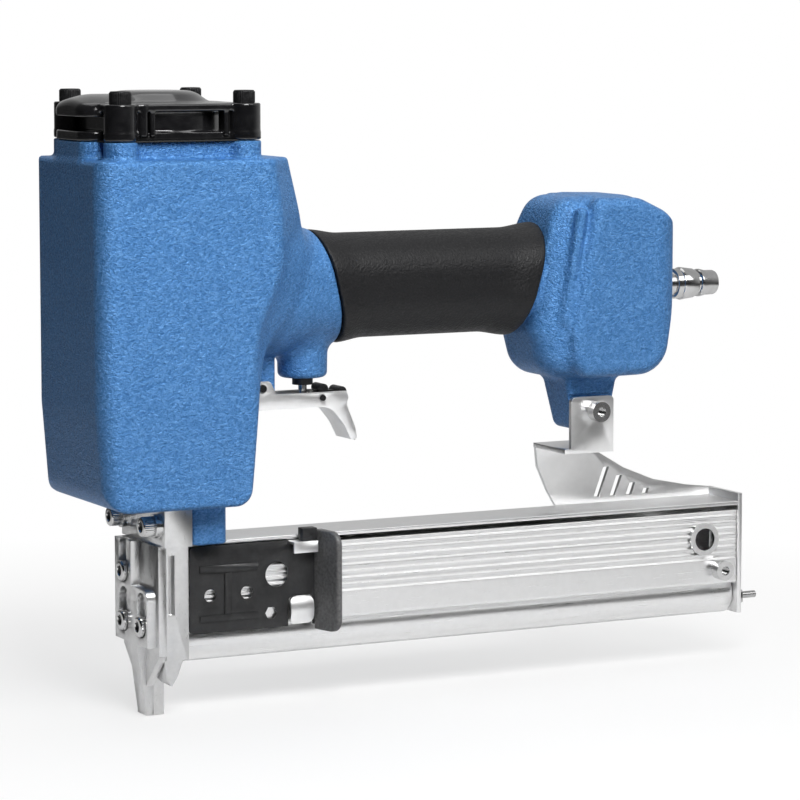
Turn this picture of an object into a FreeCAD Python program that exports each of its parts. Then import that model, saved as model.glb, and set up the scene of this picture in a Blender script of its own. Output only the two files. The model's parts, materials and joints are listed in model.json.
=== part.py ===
import FreeCAD, Part
import math
import os
import Sketcher

# A pneumatic brad nailer. The origin is the nose tip on the driver's line, +Z runs up the
# cylinder and +X runs back along the handle and the magazine.

Vector = FreeCAD.Vector

SIZES = [
    # housing casting
    ("body_wide", 70, "width of the cylinder housing"),
    ("body_front", 34.5, "driver line to the front face"),
    ("body_back", 41, "driver line to the back of the flat side, at its widest"),
    ("body_waist", 29.4, "driver line to the back of the flat side, at its foot"),
    ("body_shoulder", 193, "height where the back of the flat side turns in"),
    ("body_top", 222, "height of the shoulder under the collar"),
    ("body_floor", 86, "height of the housing's underside"),
    ("floor_thick", 10, "thickness of the housing's floor"),
    ("toe_front", 31.5, "driver line to the front of the housing's foot"),
    ("toe_high", 125, "height where the front face starts to lean in"),
    ("toe_round", 12, "rounding of the lower front corner"),
    ("corner_round", 8, "rounding of the upright front corners"),
    ("collar_high", 7, "height of the collar above the shoulder"),
    ("collar_front", 28, "driver line to the front of the collar"),
    ("collar_back", 35.8, "driver line to the back of the collar"),
    ("collar_half", 30, "half the width of the collar"),
    ("chamber_radius", 27, "radius of the air chamber round the cylinder"),
    ("chamber_low", 122, "height of the air chamber's floor"),
    ("chamber_wall", 5, "wall of the housing round the wide part of the air chamber"),
    ("chamber_back", 26, "driver line to the back of the wide part of the air chamber"),
    ("chamber_top", 200, "height of the top of the wide part of the air chamber"),
    ("return_low", 100, "height of the return air chamber's floor"),
    ("return_high", 16, "height of the return air chamber"),
    ("return_front", 25, "driver line to the front of the return air chamber"),
    # neck that holds the nose
    ("neck_front", 8.6, "driver line to the front of the neck"),
    ("neck_back", 24, "driver line to the back of the neck"),
    ("neck_half", 22, "half the width of the neck and of the nose flange"),
    ("neck_low", 69.7, "height of the neck's underside"),
    # handle
    ("handle_height", 168.5, "height of the handle's centre line"),
    ("handle_tall", 38.5, "height of the handle tube"),
    ("handle_thick", 31, "width of the handle tube"),
    ("handle_wall", 3.5, "wall of the handle tube"),
    ("handle_end", 186, "driver line to the rear end of the handle tube"),
    ("root_start", 36, "driver line to the large end of the handle root"),
    ("root_end", 69, "driver line to the small end of the handle root"),
    ("root_tall", 76, "height of the handle root's large end"),
    ("root_wide", 58, "width of the handle root's large end"),
    ("root_height", 180, "height of the centre of the root's large end"),
    ("grip_wall", 2.5, "thickness of the rubber grip"),
    ("grip_front_top", 69.5, "front end of the grip, along its top"),
    ("grip_front_low", 79.8, "front end of the grip, along its underside"),
    ("grip_rear_top", 175.5, "rear end of the grip, along its top"),
    ("grip_rear_low", 163.5, "rear end of the grip, along its underside"),
    # rear handle block
    ("block_front", 171.5, "driver line to the front of the rear block"),
    ("block_back", 233, "driver line to the back of the rear block"),
    ("block_top", 204, "height of the rear block's top"),
    ("block_low", 128, "height of the rear block's underside"),
    ("block_wide", 52, "width of the rear block"),
    ("space_half", 20, "half the width of the rear block's air space"),
    ("space_low", 144, "height of the floor of the rear block's air space"),
    ("space_back", 222, "driver line to the back of the rear block's air space"),
    ("foot_front", 184, "driver line to the front of the block's foot"),
    ("foot_back", 206, "driver line to the back of the block's foot"),
    ("foot_low", 103, "height of the foot's end"),
    ("foot_half", 11, "half the width of the foot"),
    ("plug_height", 163.5, "height of the air plug's axis"),
    ("plug_thread", 6.4, "radius of the air plug's thread"),
    ("plug_bore", 2.7, "bore radius of the air plug"),
    ("plug_end", 262.4, "driver line to the mouth of the air plug"),
    # head cap
    ("gasket_thick", 0.5, "thickness of the cap gasket"),
    ("cap_high", 14, "height of the cap's bolt posts"),
    ("cap_centre", 4, "driver line to the middle of the bolt pattern"),
    ("bolt_half", 26, "half the spacing of the cap bolts"),
    ("post_radius", 6.5, "radius of the cap's bolt posts"),
    ("drum_radius", 28.5, "radius of the cap's drum"),
    ("dome_high", 4.6, "height of the dome above the cap's top flange"),
    ("hood_front", 34.5, "driver line to the front of the exhaust hood"),
    ("hood_half", 17.5, "half the width of the exhaust hood"),
    # fasteners
    ("screw_radius", 2.5, "radius of the socket screws' shanks"),
    ("screw_head", 4.25, "radius of the socket screws' heads"),
    ("screw_head_high", 5, "height of the socket screws' heads"),
    ("socket_radius", 2, "radius of the sockets in the screw heads"),
    ("hole_gap", 0.1, "clearance of a fixed part in its hole"),
    ("run_gap", 0.3, "clearance of a part that moves"),
    # cylinder, piston and driver
    ("cylinder_radius", 19, "bore radius of the cylinder sleeve"),
    ("sleeve_wall", 2.5, "wall of the cylinder sleeve"),
    ("sleeve_top", 214, "height of the top of the cylinder sleeve"),
    ("stroke", 68, "travel of the piston"),
    ("piston_high", 13, "height of the piston"),
    ("bumper_high", 33, "height of the rubber bumper"),
    ("driver_thick", 1.2, "thickness of the driver blade"),
    ("driver_wide", 6, "width of the driver blade"),
    ("ring_radius", 0.9, "section radius of the rubber rings"),
    ("valve_radius", 24.2, "radius of the head valve"),
    ("valve_high", 15, "height of the head valve"),
    # nose
    ("nose_seam", 1, "driver line to the seam behind the front plate"),
    ("nose_back", 8.5, "driver line to the back of the nose body"),
    ("nose_half", 18, "half the width of the nose block"),
    ("nose_low", 24, "height of the nose block's underside"),
    ("tip_half", 4.4, "half the width of the nose tip"),
    ("tip_back", 3.4, "driver line to the back of the tip"),
    ("front_thick", 3.3, "thickness of the front plate"),
    ("front_boss", 3.7, "height of the front plate's raised boss"),
    ("front_screw_side", 9, "driver line to the nose screws, sideways"),
    ("front_screw_low", 37, "height of the two lower nose screws"),
    ("front_screw_high", 57, "height of the upper nose screw"),
    ("flange_front", 3.2, "driver line to the front of the nose flange"),
    ("flange_screw_side", 16.5, "driver line to the flange screws, sideways"),
    ("flange_screw_height", 78, "height of the flange screws"),
    ("washer_thick", 3, "thickness of the flange washers"),
    # magazine
    ("rail_start", 8.6, "driver line to the front end of the magazine"),
    ("rail_half", 12, "half the width of the magazine"),
    ("rail_wall", 2, "wall of the magazine"),
    ("rail_low", 30, "height of the magazine floor's underside"),
    ("rail_top", 66, "height of the near wall's edge"),
    ("rail_end", 268.4, "driver line to the rear end of the magazine"),
    ("rail_cut", 11, "driver line to the front edge of the near wall"),
    ("cover_thick", 2, "thickness of the magazine's top plate"),
    ("cover_low", 68, "height of the top plate's underside"),
    ("tube_height", 26.2, "height of the spring tube's axis"),
    ("tube_radius", 6.2, "outer radius of the spring tube"),
    ("tube_bore", 4.3, "bore radius of the spring tube"),
    ("flute_pitch", 2.66, "pitch of the flutes on the magazine"),
    ("flute_wide", 0.9, "width of each flute"),
    ("flute_deep", 0.5, "depth of each flute"),
    ("flute_low", 45.6, "height of the lowest flute"),
    ("grommet_x", 251.2, "driver line to the rear grommet"),
    ("grommet_height", 54.3, "height of the rear grommet"),
    ("grommet_bore", 4.8, "bore radius of the rear grommet"),
    ("rear_screw_x", 259.4, "driver line to the magazine's rear screw"),
    ("rear_screw_height", 40.6, "height of the magazine's rear screw"),
    ("rod_radius", 1.5, "radius of the pusher's spring rod"),
    ("rod_end", 285, "driver line to the end of the spring rod"),
    # pusher
    ("pusher_front", 11, "driver line to the front of the pusher's side plate"),
    ("pusher_thick", 1.2, "thickness of the pusher's side plate"),
    ("pusher_low", 32.9, "height of the pusher plate's lower edge"),
    ("tab_gap_front", 54, "driver line to the front of the side plate's gap"),
    ("tab_gap_back", 65.2, "driver line to the back of the side plate's gap"),
    ("tab_gap_top", 45.2, "height of the top of the side plate's gap"),
    ("guard_front", 65.5, "driver line to the front of the finger guard"),
    ("guard_root", 4, "thickness of the finger guard at its root"),
    ("guard_thick", 2.4, "thickness of the finger guard at its tip"),
    ("guard_lean", 3.8, "how far the finger guard leans back"),
    ("guard_low", 30.8, "height of the finger guard's lower edge"),
    ("guard_high", 71.6, "height of the finger guard's upper edge"),
    ("blade_back", 67.5, "driver line to the back of the pusher blade"),
    ("plate_high", 67.8, "height of the side plate's upper edge"),
    ("pad_front", 58.9, "driver line to the front of the thumb pad"),
    ("pad_top", 72.7, "height of the top of the thumb pad"),
    ("guard_out", 14, "how far the finger guard stands out"),
    # rear bracket
    ("sheet_thick", 2, "thickness of the bracket's sheet"),
    ("tab_front", 185.1, "driver line to the front of the bracket's tab"),
    ("tab_back", 205.5, "driver line to the back of the bracket's tab"),
    ("tab_top", 118.7, "height of the tab's top"),
    ("shelf_low", 95, "height of the bracket's shelf"),
    ("bracket_bolt_x", 196.9, "driver line to the bracket bolt"),
    ("bracket_bolt_height", 112.6, "height of the bracket bolt"),
    # trigger and its valve
    ("trigger_half", 7, "half the width of the trigger"),
    ("trigger_sheet", 1.4, "thickness of the trigger's sheet"),
    ("trigger_floor", 121.5, "height of the trigger channel's floor"),
    ("pivot_x", 46.2, "driver line to the trigger pivot"),
    ("pivot_height", 128.8, "height of the trigger pivot"),
    ("pivot_radius", 1.5, "radius of the trigger pivot pin"),
    ("valve_x", 67.1, "driver line to the trigger valve"),
    ("boss_radius", 10, "radius of the trigger valve's boss"),
    ("boss_low", 132, "height of the boss's end"),
    ("stem_radius", 1.7, "radius of the trigger valve's stem"),
]


class Size:
    """A length that carries its expression as well as its present value."""

    def __init__(self, text, value):
        self.text = text
        self.value = float(value)

    def joined(self, sign, other, value):
        return Size("(" + self.text + sign + text_of(other) + ")", value)

    def __add__(self, other):
        return self.joined(" + ", other, self.value + number(other))

    def __sub__(self, other):
        return self.joined(" - ", other, self.value - number(other))

    def __mul__(self, other):
        return self.joined(" * ", other, self.value * number(other))

    def __truediv__(self, other):
        return self.joined(" / ", other, self.value / number(other))

    def __radd__(self, other):
        return self + other

    def __rsub__(self, other):
        return -self + other

    def __rmul__(self, other):
        return self * other

    def __neg__(self):
        return Size("(0 - " + self.text + ")", -self.value)


def text_of(value):
    return value.text if isinstance(value, Size) else repr(float(value))


def number(value):
    return value.value if isinstance(value, Size) else float(value)


def bind(thing, name, value):
    """Ties a property to the sheet through its expression."""
    thing.setExpression(name, text_of(value))


def make_sheet(doc):
    """Writes the sizes into the sheet, one alias a row, and returns them by name."""
    sheet = doc.addObject("Spreadsheet::Sheet", "sizes")
    for row, (alias, value, note) in enumerate(SIZES, start=1):
        sheet.set("A%d" % row, note)
        sheet.set("B%d" % row, str(value))
        sheet.setAlias("B%d" % row, alias)
    doc.recompute()

    class Names:
        pass

    names = Names()
    for alias, value, note in SIZES:
        setattr(names, alias, Size("sizes." + alias, value))
    return names


doc = FreeCAD.newDocument("nail_gun")
d = make_sheet(doc)

# ---------------------------------------------------------------- primitives and booleans

TURNS = {
    "x": FreeCAD.Rotation(Vector(0, 1, 0), 90),
    "y": FreeCAD.Rotation(Vector(1, 0, 0), -90),
    "z": FreeCAD.Rotation(),
}


def place(thing, x, y, z, turn="z"):
    thing.Placement = FreeCAD.Placement(Vector(), TURNS[turn])
    for axis, value in zip("xyz", (x, y, z)):
        bind(thing, "Placement.Base." + axis, value)


def box(name, x, y, z):
    """A block between a low and a high value on each axis."""
    block = doc.addObject("Part::Box", name)
    for prop, (low, high) in zip(("Length", "Width", "Height"), (x, y, z)):
        bind(block, prop, high - low)
    place(block, x[0], y[0], z[0])
    return block


def along(axis, across, start):
    """The point at start along an axis, with its two other coordinates given in order."""
    first, second = across
    return {"x": (start, first, second), "y": (first, start, second), "z": (first, second, start)}[axis]


def rod(name, axis, across, radius, start, end):
    cylinder = doc.addObject("Part::Cylinder", name)
    bind(cylinder, "Radius", radius)
    bind(cylinder, "Height", end - start)
    place(cylinder, *along(axis, across, start), turn=axis)
    return cylinder


def ring(name, axis, across, radius, section, at):
    """A rubber ring: a torus about an axis."""
    torus = doc.addObject("Part::Torus", name)
    bind(torus, "Radius1", radius)
    bind(torus, "Radius2", section)
    place(torus, *along(axis, across, at), turn=axis)
    return torus


def cut(name, base, *tools):
    for index, tool in enumerate(tools):
        result = doc.addObject("Part::Cut", "%s_%d" % (name, index))
        result.Base = base
        result.Tool = tool
        base = result
    return base


def fuse(name, *shapes):
    result = doc.addObject("Part::MultiFuse", name)
    result.Shapes = list(shapes)
    result.Refine = True
    return result


def group(name, shapes):
    """Separate solids of one kind that share a node."""
    result = doc.addObject("Part::Compound", name)
    result.Links = list(shapes)
    return result


def tube(name, axis, across, outer, inner, start, end):
    wall = rod(name + "_wall", axis, across, outer, start, end)
    bore = rod(name + "_bore", axis, across, inner, start - 1, end + 1)
    return cut(name, wall, bore)


def socket_screw(name, axis, across, seat, length, out):
    """A socket screw whose head sits on seat and points along out, +1 or -1."""
    face = seat + out * d.screw_head_high
    tip = seat - out * length
    deep = face - out * d.screw_head_high * 0.6
    low, high = (tip, seat) if out > 0 else (seat, tip)
    shank = rod(name + "_shank", axis, across, d.screw_radius, low, high)
    low, high = (seat, face) if out > 0 else (face, seat)
    head = rod(name + "_head", axis, across, d.screw_head, low, high)
    low, high = (deep, face) if out > 0 else (face, deep)
    socket = rod(name + "_socket", axis, across, d.socket_radius, low, high)
    return cut(name, fuse(name + "_blank", shank, head), socket)


def coil(name, axis, across, radius, wire, start, end, turns):
    """A round-wire compression spring between two flat seats."""
    helix = doc.addObject("Part::Helix", name + "_helix")
    tall = end - start - 2 * wire
    bind(helix, "Radius", radius)
    bind(helix, "Height", tall)
    bind(helix, "Pitch", tall / turns)
    circle = doc.addObject("Part::Circle", name + "_wire")
    bind(circle, "Radius", wire)
    circle.Placement = FreeCAD.Placement(Vector(), FreeCAD.Rotation(Vector(1, 0, 0), 90))
    bind(circle, "Placement.Base.x", radius)
    doc.recompute()
    spring = doc.addObject("Part::Sweep", name)
    spring.Sections = [circle]
    spring.Spine = (helix, ["Edge1"])
    spring.Solid = True
    spring.Frenet = True
    place(spring, *along(axis, across, start + wire), turn=axis)
    return spring


# ---------------------------------------------------------------- sketches and features


def new_body(name):
    return doc.addObject("PartDesign::Body", name)


def new_sketch(owner, role, name, offset=0):
    """A sketch on one of the body's own origin planes, moved along the plane's normal."""
    sketch = owner.newObject("Sketcher::SketchObject", name)
    plane = [item for item in owner.Origin.OriginFeatures if item.Role == role][0]
    sketch.AttachmentSupport = [(plane, "")]
    sketch.MapMode = "FlatFace"
    bind(sketch, "AttachmentOffset.Base.z", offset)
    return sketch


def fix(sketch, kind, geometry, point, value):
    """Holds one coordinate of a point at a distance from the sketch's origin."""
    at = sketch.addConstraint(Sketcher.Constraint(kind, -1, 1, geometry, point, number(value)))
    sketch.setExpression("Constraints[%d]" % at, text_of(value))


def fix_point(sketch, geometry, point, x, y):
    fix(sketch, "DistanceX", geometry, point, x)
    fix(sketch, "DistanceY", geometry, point, y)


def add_circle(sketch, x, y, radius):
    centre = Vector(number(x), number(y), 0)
    ring_line = sketch.addGeometry(Part.Circle(centre, Vector(0, 0, 1), number(radius)), False)
    fix_point(sketch, ring_line, 3, x, y)
    at = sketch.addConstraint(Sketcher.Constraint("Radius", ring_line, number(radius)))
    sketch.setExpression("Constraints[%d]" % at, text_of(radius))


def corner_arc(before, corner, after, radius):
    """The tangent points, centre and sense of the arc that rounds a corner."""
    back = (before - corner).normalize()
    ahead = (after - corner).normalize()
    half = back.getAngle(ahead) / 2
    reach = radius / math.tan(half)
    centre = corner + (back + ahead).normalize() * (radius / math.sin(half))
    left_turn = (corner - before).cross(after - corner).z > 0
    return corner + back * reach, corner + ahead * reach, centre, left_turn


def add_outline(sketch, corners):
    """A closed outline through corners (x, y) or (x, y, radius), every one tied to the sheet."""
    points = [Vector(number(item[0]), number(item[1]), 0) for item in corners]
    count = len(corners)
    entry, leave, arcs = {}, {}, {}
    for index, item in enumerate(corners):
        entry[index] = leave[index] = points[index]
        if len(item) == 3:
            before, after = points[index - 1], points[(index + 1) % count]
            first, last, centre, left = corner_arc(before, points[index], after, number(item[2]))
            entry[index], leave[index] = first, last
            arcs[index] = (centre, left)
    lines = []
    for index in range(count):
        segment = Part.LineSegment(leave[index], entry[(index + 1) % count])
        lines.append(sketch.addGeometry(segment, False))
    for index, item in enumerate(corners):
        came, goes = lines[index - 1], lines[index]
        if index in arcs:
            round_corner(sketch, came, goes, item, entry[index], leave[index], arcs[index])
        else:
            sketch.addConstraint(Sketcher.Constraint("Coincident", came, 2, goes, 1))
            fix_point(sketch, goes, 1, item[0], item[1])


def round_corner(sketch, came, goes, item, first, last, arc_data):
    centre, left = arc_data
    start, end = (first, last) if left else (last, first)
    circle = Part.Circle(centre, Vector(0, 0, 1), number(item[2]))
    angles = [math.atan2((p - centre).y, (p - centre).x) for p in (start, end)]
    arc = sketch.addGeometry(Part.ArcOfCircle(circle, *angles), False)
    near, far = (1, 2) if left else (2, 1)
    sketch.addConstraint(Sketcher.Constraint("Tangent", came, 2, arc, near))
    sketch.addConstraint(Sketcher.Constraint("Tangent", arc, far, goes, 1))
    corner = sketch.addGeometry(Part.Point(Vector(number(item[0]), number(item[1]), 0)), True)
    fix_point(sketch, corner, 1, item[0], item[1])
    sketch.addConstraint(Sketcher.Constraint("PointOnObject", corner, 1, came))
    sketch.addConstraint(Sketcher.Constraint("PointOnObject", corner, 1, goes))
    at = sketch.addConstraint(Sketcher.Constraint("Radius", arc, number(item[2])))
    sketch.setExpression("Constraints[%d]" % at, text_of(item[2]))


def rectangle(x, y, radius=None):
    """Corners of an upright rectangle between low and high values, rounded if asked."""
    corners = [(x[0], y[0]), (x[1], y[0]), (x[1], y[1]), (x[0], y[1])]
    return [corner + (radius,) for corner in corners] if radius is not None else corners


def add_stadium(sketch, x, y, tall, wide):
    """A rounded slot, taller than it is wide, about a centre."""
    half, rise = wide / 2, tall / 2
    round_off = half * 0.98
    add_outline(sketch, rectangle((x - half, x + half), (y - rise, y + rise), round_off))


def finish_feature(owner, feature, removes=False):
    """Rebuilds the document and makes sure that the feature changed the solid."""
    doc.recompute()
    if feature.Shape.isNull() or not feature.Shape.isValid():
        raise ValueError("%s in %s has no valid shape" % (feature.Name, owner.Name))
    base = feature.BaseFeature
    change = feature.Shape.Volume - (base.Shape.Volume if base else 0)
    if change <= 0 and not removes or change >= 0 and removes:
        raise ValueError("%s does not change %s" % (feature.Name, owner.Name))
    return feature


def pad(owner, sketch, length, symmetric=False, reverse=False):
    feature = owner.newObject("PartDesign::Pad", sketch.Name + "_pad")
    feature.Profile = sketch
    feature.SideType = "Symmetric" if symmetric else "One side"
    feature.Reversed = reverse
    bind(feature, "Length", length)
    return finish_feature(owner, feature)


def pocket(owner, sketch, length=None, symmetric=False, reverse=False):
    """Cuts a depth, or right through when no length is given."""
    feature = owner.newObject("PartDesign::Pocket", sketch.Name + "_pocket")
    feature.Profile = sketch
    feature.SideType = "Symmetric" if symmetric else "One side"
    feature.Reversed = reverse
    if length is None:
        feature.Type = "ThroughAll"
    else:
        bind(feature, "Length", length)
    return finish_feature(owner, feature, removes=True)


def revolve(owner, sketch, axis="V_Axis"):
    feature = owner.newObject("PartDesign::Revolution", sketch.Name + "_turned")
    feature.Profile = sketch
    feature.ReferenceAxis = (sketch, [axis])
    feature.Angle = 360
    return finish_feature(owner, feature)


def loft(owner, first, last):
    feature = owner.newObject("PartDesign::AdditiveLoft", first.Name + "_loft")
    feature.Profile = first
    feature.Sections = [last]
    feature.Ruled = True
    return finish_feature(owner, feature)


def round_edges(owner, name, radius, wanted):
    """Fillets the edges of the body's present solid that wanted() picks."""
    base = owner.Tip
    edges = [i for i, edge in enumerate(base.Shape.Edges, start=1) if wanted(edge)]
    feature = owner.newObject("PartDesign::Fillet", name)
    feature.Base = (base, ["Edge%d" % i for i in edges])
    bind(feature, "Radius", radius)
    doc.recompute()
    if feature.Shape.isNull() or not feature.Shape.isValid():
        raise ValueError("%s in %s has no valid shape" % (name, owner.Name))
    return feature


def runs_along(edge, axis):
    """True for a straight edge parallel to an axis."""
    if edge.Curve.TypeId != "Part::GeomLine":
        return False
    return abs(abs(getattr(edge.Curve.Direction, axis)) - 1) < 1e-6


def profile(owner, name, corners, axis="V_Axis"):
    """Turns a closed outline in the XZ plane about the body's upright or level axis."""
    sketch = new_sketch(owner, "XZ_Plane", name)
    add_outline(sketch, corners)
    return revolve(owner, sketch, axis)


def slab(owner, name, role, corners, length, offset=0, symmetric=False, reverse=False):
    """Pads one closed outline."""
    sketch = new_sketch(owner, role, name, offset)
    add_outline(sketch, corners)
    return pad(owner, sketch, length, symmetric, reverse)


def window(owner, name, role, corners, length=None, offset=0, symmetric=False, reverse=False):
    """Pockets one closed outline."""
    sketch = new_sketch(owner, role, name, offset)
    add_outline(sketch, corners)
    return pocket(owner, sketch, length, symmetric, reverse)


def drill(owner, name, role, holes, length=None, offset=0, symmetric=False, reverse=False):
    """Pockets round holes, each (x, y, radius)."""
    sketch = new_sketch(owner, role, name, offset)
    for hole in holes:
        add_circle(sketch, *hole)
    return pocket(owner, sketch, length, symmetric, reverse)


# ---------------------------------------------------------------- places worked out once

collar_top = d.body_top + d.collar_high
cap_low = collar_top + d.gasket_thick
cap_top = cap_low + d.cap_high
sleeve_low = d.body_floor + d.floor_thick
sleeve_outer = d.cylinder_radius + d.sleeve_wall
bumper_top = sleeve_low + d.bumper_high
piston_low = bumper_top + 1 + d.stroke
piston_top = piston_low + d.piston_high
driver_tip = d.cover_low + d.run_gap
blade_root = piston_low + 8
cap_bolts = [(d.cap_centre + i * d.bolt_half, j * d.bolt_half) for i in (-1, 1) for j in (-1, 1)]
nose_screws = [
    (d.front_screw_side, d.front_screw_high),
    (d.front_screw_side, d.front_screw_low),
    (-d.front_screw_side, d.front_screw_low),
]
plate_out = d.rail_half + 0.4
screw_hole = d.screw_radius + d.hole_gap


# ---------------------------------------------------------------- housing and handle


def housing():
    body = new_body("housing")
    foot = d.body_floor
    side = [
        (-d.body_front, d.body_top),
        (-d.body_front, d.toe_high, 60),
        (-d.toe_front, foot, d.toe_round),
        (d.body_waist - 5, foot),
        (d.body_waist, foot + 7),
        (d.body_waist + 2.8, foot + 52),
        (d.body_back, d.body_shoulder - 12),
        (d.body_back, d.body_top),
    ]
    slab(body, "head_side", "XZ_Plane", side, d.body_wide, symmetric=True)

    def front_corner(edge):
        on_side = abs(edge.CenterOfMass.y) > number(d.body_wide) / 2 - 0.01
        return on_side and edge.CenterOfMass.x < -number(d.toe_front) - 1

    round_edges(body, "front_corners", d.corner_round, front_corner)
    plan = rectangle((-d.collar_front, d.collar_back), (-d.collar_half, d.collar_half), 9)
    slab(body, "collar", "XY_Plane", plan, d.collar_high + 4, offset=d.body_top - 4)
    handle_root(body)
    tube_sketch = new_sketch(body, "YZ_Plane", "handle_section", d.root_start)
    add_stadium(tube_sketch, 0, d.handle_height, d.handle_tall, d.handle_thick)
    pad(body, tube_sketch, d.handle_end - d.root_start)
    valve_boss(body)
    plan = rectangle((d.neck_front, d.neck_back), (-d.neck_half, d.neck_half), 3)
    slab(body, "neck", "XY_Plane", plan, foot + 2 - d.neck_low, offset=d.neck_low)
    hollow_housing(body)
    return body


def handle_root(body):
    wide_end = new_sketch(body, "YZ_Plane", "root_wide_end", d.root_start)
    add_stadium(wide_end, 0, d.root_height, d.root_tall, d.root_wide)
    small_end = new_sketch(body, "YZ_Plane", "root_small_end", d.root_end)
    rim = 2 * d.grip_wall + 2
    add_stadium(small_end, 0, d.handle_height, d.handle_tall + rim, d.handle_thick + rim)
    loft(body, wide_end, small_end)


def valve_boss(body):
    boss = new_sketch(body, "XY_Plane", "boss_plan", d.boss_low)
    add_circle(boss, d.valve_x, 0, d.boss_radius)
    pad(body, boss, d.handle_height - d.handle_tall / 2 + 2 - d.boss_low)
    lug = rectangle((d.body_waist, d.pivot_x + 7), (d.pivot_height - 4, d.pivot_height + 20), 3)
    slab(body, "trigger_lug", "XZ_Plane", lug, lug_wide(), symmetric=True)


def lug_wide():
    """Width of the housing's lug between the trigger's cheeks."""
    return 2 * (d.trigger_half - d.trigger_sheet - 0.4)


def hollow_housing(body):
    drill(body, "chamber", "XY_Plane", [(0, 0, d.chamber_radius)], offset=d.chamber_low, reverse=True)
    wide = rectangle((d.chamber_wall - d.body_front, d.chamber_back),
                     (d.chamber_wall - d.body_wide / 2, d.body_wide / 2 - d.chamber_wall), 12)
    window(body, "wide_chamber", "XY_Plane", wide, d.chamber_top - d.chamber_low, d.chamber_low, reverse=True)
    back = rectangle((-d.return_front, d.return_front),
                     (d.chamber_wall - d.body_wide / 2, d.body_wide / 2 - d.chamber_wall), 12)
    window(body, "return_chamber", "XY_Plane", back, d.return_high, d.return_low, reverse=True)
    bore = [(0, 0, sleeve_outer + 0.4)]
    drill(body, "sleeve_bore", "XY_Plane", bore, d.chamber_low - sleeve_low + 1, sleeve_low, reverse=True)
    passage = new_sketch(body, "YZ_Plane", "air_passage", d.chamber_radius - 6)
    wall = 2 * d.handle_wall
    add_stadium(passage, 0, d.handle_height, d.handle_tall - wall, d.handle_thick - wall)
    pocket(body, passage, reverse=True)
    slot = rectangle((-d.driver_thick, d.driver_thick), (-d.driver_wide / 2 - 0.5, d.driver_wide / 2 + 0.5))
    window(body, "driver_slot", "XY_Plane", slot, d.floor_thick + 2, d.body_floor - 1, reverse=True)
    valve_bore = [(d.valve_x, 0, 6.2)]
    drill(body, "valve_bore", "XY_Plane", valve_bore, 26, d.boss_low - 1, reverse=True)
    drill(body, "pivot_hole", "XZ_Plane", [(d.pivot_x, d.pivot_height, d.pivot_radius + d.hole_gap)],
          lug_wide() + 2, symmetric=True)
    bolts = [(x, y, screw_hole) for x, y in cap_bolts]
    drill(body, "cap_bolt_holes", "XY_Plane", bolts, 20, collar_top - 19, reverse=True)
    threads = [(side * d.flange_screw_side, d.flange_screw_height, screw_hole) for side in (-1, 1)]
    drill(body, "flange_threads", "YZ_Plane", threads, 15, d.neck_front - 1, reverse=True)


def grip_end_at(height):
    """Where the slanted rear end of the grip lies at a height."""
    lean = (d.grip_rear_top - d.grip_rear_low) / (d.handle_tall + 2 * d.grip_wall)
    return d.grip_rear_low + lean * (height - d.handle_height + d.handle_tall / 2 + d.grip_wall)


def handle_end_block():
    body = new_body("handle_end_block")
    high, low = d.block_top - 17, d.block_low + 20
    side = [
        (grip_end_at(high) + 0.1, high, 8),
        (grip_end_at(low) + 0.1, low, 8),
        (d.block_front + 7, d.block_low, 9),
        (d.block_back, d.block_low, 13),
        (d.block_back, d.block_top, 12),
        (d.block_front + 13, d.block_top, 9),
    ]
    slab(body, "block_side", "XZ_Plane", side, d.block_wide, symmetric=True)

    def on_a_side(edge):
        return abs(edge.CenterOfMass.y) > number(d.block_wide) / 2 - 0.01

    round_edges(body, "block_rounding", 4.5, on_a_side)
    foot = [
        (d.foot_front - 4, d.block_low + 6),
        (d.foot_front + 3, d.foot_low + 4),
        (d.foot_front + 7, d.foot_low, 3),
        (d.foot_back - 6, d.foot_low, 3),
        (d.foot_back, d.foot_low + 8),
        (d.foot_back + 3, d.block_low + 6),
    ]
    slab(body, "foot", "XZ_Plane", foot, 2 * d.foot_half, symmetric=True)
    socket = new_sketch(body, "YZ_Plane", "handle_socket", d.grip_rear_low - 1)
    add_stadium(socket, 0, d.handle_height, d.handle_tall + 0.2, d.handle_thick + 0.2)
    pocket(body, socket, d.handle_end - d.grip_rear_low + 1, reverse=True)
    space = rectangle((-d.space_half, d.space_half), (d.space_low, d.block_top - 8), 10)
    start, length = d.handle_end - 1, d.space_back - d.handle_end + 1
    window(body, "air_space", "YZ_Plane", space, length, start, reverse=True)
    thread = [(0, d.plug_height, d.plug_thread + d.hole_gap)]
    drill(body, "plug_thread", "YZ_Plane", thread, 30, d.handle_end + 20, reverse=True)
    bolt = [(d.bracket_bolt_x, d.bracket_bolt_height, screw_hole)]
    drill(body, "bolt_hole", "XZ_Plane", bolt, d.foot_half + 6, -5, reverse=True)
    return body


def grip_sleeve():
    """The rubber sleeve, cut at a slant at both ends."""
    body = new_body("grip_sleeve")
    section = new_sketch(body, "YZ_Plane", "grip_section", d.grip_front_top)
    rim = 2 * d.grip_wall
    add_stadium(section, 0, d.handle_height, d.handle_tall + rim, d.handle_thick + rim)
    add_stadium(section, 0, d.handle_height, d.handle_tall + 0.2, d.handle_thick + 0.2)
    pad(body, section, d.grip_rear_top - d.grip_front_top)
    top = d.handle_height + d.handle_tall / 2 + d.grip_wall
    low = d.handle_height - d.handle_tall / 2 - d.grip_wall
    front = [
        (d.grip_front_top, top), (d.grip_front_low, low), (d.grip_front_low, low - 5),
        (d.grip_front_top - 1, low - 5), (d.grip_front_top - 1, top),
    ]
    window(body, "front_slant", "XZ_Plane", front, 80, symmetric=True)
    rear = [
        (d.grip_rear_top, top), (d.grip_rear_top + 1, top), (d.grip_rear_top + 1, low - 5),
        (d.grip_rear_low, low - 5), (d.grip_rear_low, low),
    ]
    window(body, "rear_slant", "XZ_Plane", rear, 80, symmetric=True)
    return body


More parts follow.
